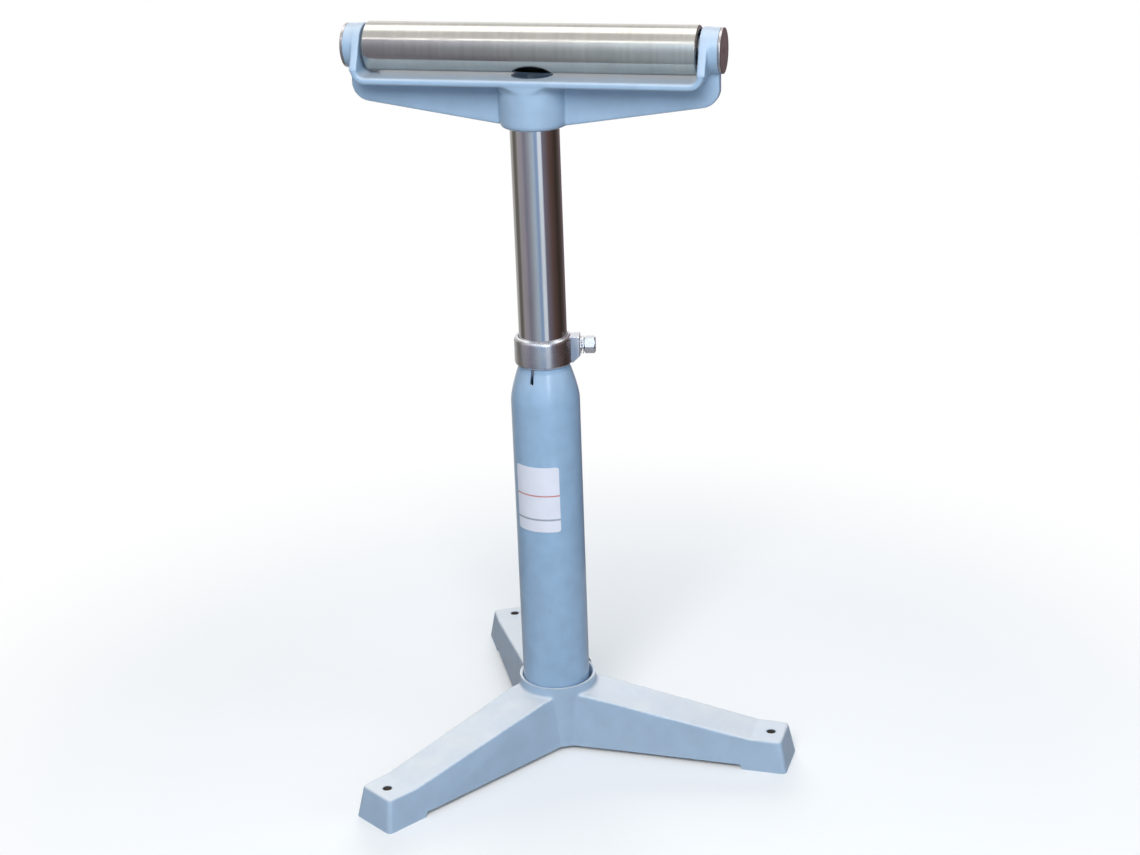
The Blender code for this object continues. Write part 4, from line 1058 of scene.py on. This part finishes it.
def makeBearing(side, place):
    axleRadius = yoke["axleRadius"]
    pitch = (axleRadius + rollerSet["bearingRadius"]) / 2
    land = (rollerSet["bearingRadius"] - axleRadius) * rollerSet["landShare"]
    face = rollerHalf - rollerSet["recess"]
    back = face - rollerSet["bearingWidth"]
    middle = (face + back) / 2
    innerLand = axleRadius + seatGap + land
    outerLand = rollerSet["bearingRadius"] - land
    groove = rollerSet["ballRadius"] + rollerSet["ballPlay"]
    edge, fine = rollerSet["ringRound"], rollerSet["ringFine"]

    def track(landRadius, side, steps=12):
        # Arc of the ball groove across a ring's land, from back to face
        half = math.acos(abs(landRadius - pitch) / groove)
        angles = [-half + 2 * half * step / steps for step in range(steps + 1)]
        return [(pitch + side * groove * math.cos(angle), middle + groove * math.sin(angle))
                for angle in angles]

    innerBore, outer = axleRadius + seatGap, rollerSet["bearingRadius"]
    turnedPiece("bearing_inner_ring_" + side, "mast", bearingSteel,
                [(innerBore, face, edge), (innerBore, back, edge), (innerLand, back, fine)]
                + track(innerLand, -1) + [(innerLand, face, fine)], place, 96)
    turnedPiece("bearing_outer_ring_" + side, "roller", bearingSteel,
                [(outer, back, edge), (outer, face, edge), (outerLand, face, fine)]
                + track(outerLand, 1)[::-1] + [(outerLand, back, fine)], place, 96)
    innerEdge, outerEdge = innerLand + seatGap, outerLand - seatGap
    span, inset = outerEdge - innerEdge, rollerSet["sealInset"]
    # each seal by the level of its outer side, and the way that side faces
    for which, out, way in (("front", face - inset, 1), ("rear", back + inset, -1)):
        other = out - way * rollerSet["sealThickness"]
        ridges = [(innerEdge + span * share, out - way * rollerSet["sealDish"] * depth)
                  for share, depth in rollerSet["sealRidges"]]
        turnedPiece("bearing_" + which + "_seal_" + side, "roller", sealRubber,
                    [(innerEdge, out), *ridges, (outerEdge, out), (outerEdge, other), (innerEdge, other)],
                    place, 96)
    wall, tall = rollerSet["cageWall"], rollerSet["cageHeight"]
    cage = sleeve(pitch - wall / 2, pitch + wall / 2, middle - tall / 2, middle + tall / 2,
                  rollerSet["fine"], 90)
    piece = closedObject("cage", placed(cage, place))
    spots = [place @ turned(fullTurn * ball / rollerSet["balls"]) @ Matrix.Translation((pitch, 0, middle))
             for ball in range(rollerSet["balls"])]

    def balls(radius, fineness):
        shapes = [bmesh.new() for _ in spots]
        for shape, spot in zip(shapes, spots):
            bmesh.ops.create_icosphere(shape, subdivisions=fineness, radius=radius, matrix=spot)
        return shapes

    pockets = balls(rollerSet["ballRadius"] + rollerSet["pocketPlay"], 3)
    machined(piece, [("DIFFERENCE", pocket) for pocket in pockets])
    brass = bmesh.new()
    brass.from_mesh(piece.data)
    cageFaces = len(brass.faces)
    whole = gathered([brass] + balls(rollerSet["ballRadius"], 4))
    whole.faces.ensure_lookup_table()
    for face in whole.faces[cageFaces:]:
        face.material_index = 1
    whole.to_mesh(piece.data)
    whole.free()
    finished(piece, "bearing_cage_" + side, "cage_" + side, [cageBrass, bearingSteel])


def makeAxle():
    radius = yoke["axleRadius"]
    half = endBossFace - rollerSet["capSpigot"] - seatGap
    turnedPiece("axle", "mast", barSteel, [
        (0, half), (radius, half, rollerSet["axleChamfer"]), (radius, -half, rollerSet["axleChamfer"]),
        (0, -half)], alongAxle, 96)
    spacerLow = rollerHalf - rollerSet["recess"] + seatGap
    spacerHigh = uprightInner - seatGap
    capRadius, capEdge = rollerSet["capRadius"], rollerSet["capEdge"]
    capBack = endBossFace + seatGap
    capFace = capBack + rollerSet["capThickness"]
    spigotEnd = endBossFace - rollerSet["capSpigot"]
    dish = rollerSet["capDish"]
    spacerBore, edge = radius + seatGap, rollerSet["spacerRound"]
    spacerOuter = spacerBore + rollerSet["spacerWall"]
    turnedFace = [(capRadius * share, capFace - dish * depth, rounding)
                  for share, depth, rounding in rollerSet["capRings"]]
    for side, place in axleSides.items():
        turnedPiece("axle_cap_" + side, "mast", faceSteel, turnedFace + [
            (capRadius, capFace, capEdge), (capRadius, capBack, rollerSet["fine"]), (radius, capBack),
            (radius, spigotEnd, rollerSet["spigotRound"]), (0, spigotEnd)], place, 128)
        turnedPiece("axle_spacer_" + side, "mast", barSteel, [
            (spacerBore, spacerHigh, edge), (spacerOuter, spacerHigh, edge),
            (spacerOuter, spacerLow, edge), (spacerBore, spacerLow, edge)], place, 96)
        makeBearing(side, place)
        makeCirclip(side, place)


makeRoller()
makeAxle()
print("roller ready")


# Plain sticker on the tube

label = {
    "turn": math.radians(-96.8), "arcLength": 52 * mm, "height": 77 * mm, "low": 274.5 * mm,
    "thickness": 0.2 * mm, "lift": 0.05 * mm, "corner": 3 * mm,
    "spare": 1.1, "chord": 0.955,  # how far the raw sheet reaches round, and its width seen from the front
    "paper": (0.72, 0.745, 0.84, 1), "soiled": (0.60, 0.61, 0.67, 1),
    # plain printed rules: share of the height from the foot, width, colour
    "rules": [(0.56, 1.6 * mm, (0.50, 0.12, 0.10, 1)), (0.19, 2.2 * mm, (0.25, 0.30, 0.36, 1))],
}


def makeLabelLook():
    # Plain pale paper with two rules, read from the sticker's own map
    look, tree, shader, place = newLook("stickerPaper", 0.45)
    paperMap = newNode(tree, "UVMap", uv_map="sheet").outputs[0]
    upward = newNode(tree, "SeparateXYZ", {0: paperMap}).outputs["Y"]
    fibre = noise(tree, place, 700.0, 4.0, 0.6)
    soiling = rangeOf(tree, noise(tree, place, 45.0, 3.0, 0.6), 0.4, 0.75, 0.0, 0.25)
    colour = mixedColour(tree, soiling, label["paper"], label["soiled"])
    for share, width, ink in label["rules"]:
        away = maths(tree, "ABSOLUTE", maths(tree, "SUBTRACT", upward, (share - 0.5) * label["height"]))
        onRule = maths(tree, "LESS_THAN", away, width / 2)
        colour = mixedColour(tree, maths(tree, "MULTIPLY", onRule, 0.85), colour, ink)
    feed(tree, shader, {"Base Color": colour})
    addBump(tree, shader, fibre, 0.25, 0.02 * mm)
    return look


def makeLabel():
    radius = tubeRadius + label["lift"]
    outer = radius + label["thickness"]
    sweep = label["arcLength"] / outer
    low, high = label["low"], label["low"] + label["height"]
    sheet = sleeve(radius, outer, low, high, 0, 36, sweep * label["spare"])
    place = upright @ turned(label["turn"] - sweep * label["spare"] / 2)
    piece = closedObject("label", placed(sheet, place))
    plate = block((2 * radius, label["arcLength"] * label["chord"], label["height"]),
                  (radius, 0, (low + high) / 2))
    longEdges = [edge for edge in plate.edges
                 if abs(edge.verts[0].co.x - edge.verts[1].co.x) > radius]
    bmesh.ops.bevel(plate, geom=longEdges, offset=label["corner"], segments=8, profile=0.5, affect="EDGES",
                    material=-1)
    machined(piece, [("INTERSECT", placed(plate, upright @ turned(label["turn"])))])
    sheetMap = piece.data.uv_layers.new(name="sheet")
    heading = Vector((math.cos(label["turn"]), math.sin(label["turn"])))
    for loop in piece.data.loops:
        spot = piece.data.vertices[loop.vertex_index].co - column
        around = heading.angle_signed(spot.xy)
        sheetMap.data[loop.index].uv = (-around * outer, spot.z - (low + high) / 2)
    piece.name = "plainLabel"
    piece.data.materials.append(makeLabelLook())
    piece.data.shade_smooth()
    piece.data.set_sharp_from_angle(angle=sharpAngle)
    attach(piece, "base")


makeLabel()
print("label ready")


# Stage: floor, white surroundings, lamps and camera

stage = {
    "floorSize": 14.0, "floorColour": (0.80, 0.80, 0.80, 1), "floorLift": 0.04,
    "bounceColour": (0.34, 0.32, 0.30, 1),  # what the floor throws back on the stand
    "fadeStart": 0.42, "fadeEnd": 0.95,  # where the shaded floor turns into the white background
    "worldLevel": 0.2, "worldColour": (0.62, 0.84, 1.10, 1), "lampTarget": (0, 0, 0.35),
}


def whenSeen(tree):
    # 1 for rays that show the background: camera, mirror and glass
    rays = newNode(tree, "LightPath").outputs
    seen = maths(tree, "MAXIMUM", rays["Is Camera Ray"], rays["Is Glossy Ray"])
    return maths(tree, "MAXIMUM", seen, rays["Is Transmission Ray"])


def bareLook(name):
    # A material without its first shader
    look = bpy.data.materials.new(name)
    look.use_nodes = True
    look.node_tree.nodes.remove(look.node_tree.nodes["Principled BSDF"])
    return look, look.node_tree


def makeFloor():
    shape = bmesh.new()
    bmesh.ops.create_grid(shape, x_segments=1, y_segments=1, size=stage["floorSize"] / 2)
    floor = linked("floor", shape)
    look, tree = bareLook("paleFloor")
    seen = whenSeen(tree)
    bounced = newNode(tree, "LightPath").outputs["Is Diffuse Ray"]
    paint = newNode(tree, "BsdfDiffuse", {
        "Color": mixedColour(tree, bounced, stage["floorColour"], stage["bounceColour"])})
    glow = newNode(tree, "Emission", {"Strength": maths(tree, "MULTIPLY", seen, stage["floorLift"])})
    both = newNode(tree, "AddShader", {0: paint.outputs[0], 1: glow.outputs[0]})
    place = newNode(tree, "TexCoord").outputs["Object"]
    reach = newNode(tree, "VectorMath", {0: place}, operation="LENGTH").outputs["Value"]
    far = newNode(tree, "MapRange", {"Value": reach, "From Min": stage["fadeStart"],
                                     "From Max": stage["fadeEnd"]},
                  interpolation_type="SMOOTHSTEP").outputs[0]
    blank = newNode(tree, "Emission", {"Strength": 1.0})
    share = maths(tree, "MULTIPLY", far, seen)
    faded = newNode(tree, "MixShader", {0: share, 1: both.outputs[0], 2: blank.outputs[0]})
    feed(tree, tree.nodes["Material Output"], {"Surface": faded.outputs[0]})
    floor.data.materials.append(look)


def makeWorld():
    world = bpy.data.worlds.new("whiteStudio")
    bpy.context.scene.world = world
    world.use_nodes = True
    tree = world.node_tree
    seen = whenSeen(tree)
    white = newNode(tree, "Background", {"Color": (1, 1, 1, 1), "Strength": 1.0})
    soft = newNode(tree, "Background", {"Color": stage["worldColour"], "Strength": stage["worldLevel"]})
    both = newNode(tree, "MixShader", {0: seen, 1: soft.outputs[0], 2: white.outputs[0]})
    feed(tree, tree.nodes["World Output"], {"Surface": both.outputs[0]})


lamps = [
    {"name": "overheadSoftbox", "place": (-0.2, 0.3, 2.7), "width": 2.4, "height": 2.4, "power": 17.0,
     "colour": (1.0, 0.985, 0.95)},
    {"name": "frontKey", "place": (0.3, -2.15, 2.3), "width": 1.7, "height": 1.4, "power": 76.0,
     "colour": (1.0, 0.985, 0.96)},
    {"name": "frontFill", "place": (0.1, -2.6, 0.8), "width": 1.8, "height": 1.2, "power": 10.0,
     "colour": (0.66, 0.86, 1.08)},
    {"name": "rightFill", "place": (2.4, -0.5, 1.1), "width": 1.2, "height": 1.6, "power": 13.0,
     "colour": (0.85, 0.93, 1.04)},
    {"name": "backFill", "place": (-0.72, 2.5, 1.2), "width": 2.0, "height": 1.6, "power": 46.0,
     "colour": (1.0, 0.99, 0.97)},
]


def makeLamps():
    target = Vector(stage["lampTarget"])
    for lamp in lamps:
        light = bpy.data.lights.new(lamp["name"], "AREA")
        light.shape = "RECTANGLE"
        light.size = lamp["width"]
        light.size_y = lamp["height"]
        light.energy = lamp["power"]
        light.color = lamp["colour"]
        holder = bpy.data.objects.new(lamp["name"], light)
        bpy.context.scene.collection.objects.link(holder)
        holder.location = lamp["place"]
        holder.rotation_euler = (target - holder.location).to_track_quat("-Z", "Y").to_euler()
        holder.visible_glossy = False  # mirrors see the cards instead


surround = {
    # profile of the dim end of the studio: distance from the stand and height
    "profile": [(0.45, 0.003), (2.2, 0.02), (2.6, 0.3), (2.6, 3.2)],
    "eyeHeight": 0.7,
    # azimuth in degrees (0 is +X, -90 is the camera's side), with the tone of the room there
    "tones": [(-228, (0.90, 0.88, 0.86)), (-221, (0.56, 0.54, 0.50)), (-203, (0.50, 0.48, 0.45)),
              (-192, (0.18, 0.17, 0.15)), (-175, (0.16, 0.15, 0.13)), (-163, (0.38, 0.36, 0.36)),
              (-142, (0.36, 0.33, 0.37)), (-127, (0.24, 0.23, 0.29)), (-112, (0.32, 0.33, 0.38)),
              (-98, (0.44, 0.50, 0.56)), (-86, (0.48, 0.58, 0.70)), (-76, (0.30, 0.42, 0.62)),
              (-68, (0.34, 0.46, 0.66)), (-63, (0.84, 0.92, 1.00)), (-50, (0.84, 0.92, 1.00)),
              (-45, (0.20, 0.19, 0.25)), (-35, (0.19, 0.16, 0.19)), (-12, (0.13, 0.08, 0.07)),
              (25, (0.05, 0.035, 0.028)), (50, (0.10, 0.08, 0.07)), (66, (0.20, 0.15, 0.16)),
              (80, (0.20, 0.14, 0.16)), (94, (0.14, 0.12, 0.13))],
    # elevation in degrees, with the light level there
    "levels": [(-60, 0.5), (-25, 0.85), (0, 1.0), (15, 1.35), (30, 2.1), (45, 2.4)],
}
window = {"azimuth": -62, "reach": 2.45, "low": 0.85, "high": 2.2, "width": 0.15, "tone": (14, 15, 16)}
# what mirrors see of the floor close to the stand
footRing = {"reach": (0.06, 0.5), "level": 0.0015, "tone": (0.36, 0.35, 0.36)}
# what mirrors see overhead: place, size and light
overheadCards = {
    "ceiling": {"place": (0, 0, 2.95), "size": (6.5, 6.5), "tone": (0.78, 0.77, 0.78)},
    "overheadGlow": {"place": (0, 0.55, 2.7), "size": (4.0, 1.35), "tone": (1.9, 1.9, 1.9)},
    "frontStrip": {"place": (-0.3, -1.98, 2.7), "size": (4.6, 0.18), "tone": (4.6, 4.6, 4.6)},
}


def rampOf(tree, value, low, high, stops):
    # A ramp over a span of degrees; stops holds (degrees, colour)
    ramp = newNode(tree, "ValToRGB", {0: rangeOf(tree, value, math.radians(low), math.radians(high))})
    elements = ramp.color_ramp.elements
    for index, (angle, colour) in enumerate(stops):
        place = (angle - low) / (high - low)
        stop = elements[index] if index < 2 else elements.new(place)
        stop.position = place
        stop.color = (*colour, 1)
    return ramp.outputs[0]


def mirrored(name, shape, look):
    # A card that only mirrors see
    card = linked(name, shape)
    card.data.materials.append(look)
    card.visible_camera = False
    card.visible_diffuse = False
    card.visible_shadow = False
    card.visible_transmission = False


def glowing(name, tone=(1, 1, 1)):
    look, tree = bareLook(name)
    glow = newNode(tree, "Emission", {"Color": (*tone, 1), "Strength": 1.0})
    feed(tree, tree.nodes["Material Output"], {"Surface": glow.outputs[0]})
    return look, tree, glow


def glowingCard(name, size, place, tone):
    shape = bmesh.new()
    bmesh.ops.create_grid(shape, x_segments=1, y_segments=1, size=0.5,
                          matrix=place @ Matrix.Diagonal((*size, 1, 1)))
    mirrored(name, shape, glowing(name, tone)[0])


def makeSurround():
    lowest, highest = surround["tones"][0][0], surround["tones"][-1][0]
    shape = bmesh.new()
    verts = [shape.verts.new((reach, 0, height)) for reach, height in surround["profile"]]
    for pair in zip(verts, verts[1:]):
        shape.edges.new(pair)
    placed(shape, turned(math.radians(lowest)))
    bmesh.ops.spin(shape, geom=shape.verts[:] + shape.edges[:], cent=(0, 0, 0), axis=(0, 0, 1),
                   angle=math.radians(highest - lowest), steps=80)
    look, tree, glow = glowing("dimRoom")
    place = newNode(tree, "TexCoord").outputs["Object"]
    split = newNode(tree, "SeparateXYZ", {0: place}).outputs
    backY = maths(tree, "MULTIPLY", split["Y"], -1)
    # Read from the camera's side, so that the angle's seam lies behind the stand
    turn = maths(tree, "ADD", maths(tree, "ARCTAN2", split["X"], backY), -math.pi / 2)
    tone = rampOf(tree, turn, lowest, highest, surround["tones"])
    flat = newNode(tree, "CombineXYZ", {"X": split["X"], "Y": backY}).outputs[0]
    reach = newNode(tree, "VectorMath", {0: flat}, operation="LENGTH").outputs["Value"]
    above = maths(tree, "SUBTRACT", split["Z"], surround["eyeHeight"])
    rise = maths(tree, "ARCTAN2", above, reach)
    levels = surround["levels"]
    level = rampOf(tree, rise, levels[0][0], levels[-1][0],
                   [(angle, [share / levels[-1][1]] * 3) for angle, share in levels])
    feed(tree, glow, {"Color": tone, "Strength": maths(tree, "MULTIPLY", level, levels[-1][1])})
    mirrored("dimRoom", shape, look)


def makeCards():
    for name, card in overheadCards.items():
        glowingCard(name, card["size"], Matrix.Translation(card["place"]), card["tone"])
    middle = (window["low"] + window["high"]) / 2
    glowingCard("narrowWindow", (window["high"] - window["low"], window["width"]),
                turned(math.radians(window["azimuth"])) @ Matrix.Translation((window["reach"], 0, middle))
                @ quarterTurn, window["tone"])
    inner, outer = footRing["reach"]
    ring = bmesh.new()
    bmesh.ops.create_circle(ring, segments=64, radius=inner,
                            matrix=Matrix.Translation((column.x, column.y, footRing["level"])))
    rim = bmesh.ops.extrude_edge_only(ring, edges=ring.edges[:])["geom"]
    bmesh.ops.scale(ring, vec=(outer / inner, outer / inner, 1), verts=only(bmesh.types.BMVert, rim),
                    space=Matrix.Translation(-column))
    mirrored("footRing", ring, glowing("footRing", footRing["tone"])[0])


view = {
    "place": (0.546940, -2.005315, 1.187780), "forward": (-0.250563, 0.898701, -0.359938),
    "roll": -0.0363, "focalPixels": 2019.77, "widthPixels": 1140, "sensor": 36.0,
}


def makeCamera():
    lens = bpy.data.cameras.new("camera")
    lens.sensor_width = view["sensor"]
    lens.lens = view["focalPixels"] / view["widthPixels"] * view["sensor"]
    camera = bpy.data.objects.new("camera", lens)
    bpy.context.scene.collection.objects.link(camera)
    forward = Vector(view["forward"]).normalized()
    level = forward.cross(Vector((0, 0, 1))).normalized()
    above = level.cross(forward)
    aim = Matrix((level, above, -forward)).transposed().to_4x4() @ turned(view["roll"])
    camera.matrix_world = Matrix.Translation(view["place"]) @ aim
    bpy.context.scene.camera = camera


makeFloor()
makeWorld()
makeLamps()
makeSurround()
makeCards()
makeCamera()
bpy.context.scene.view_settings.view_transform = "Standard"
print("stage ready")
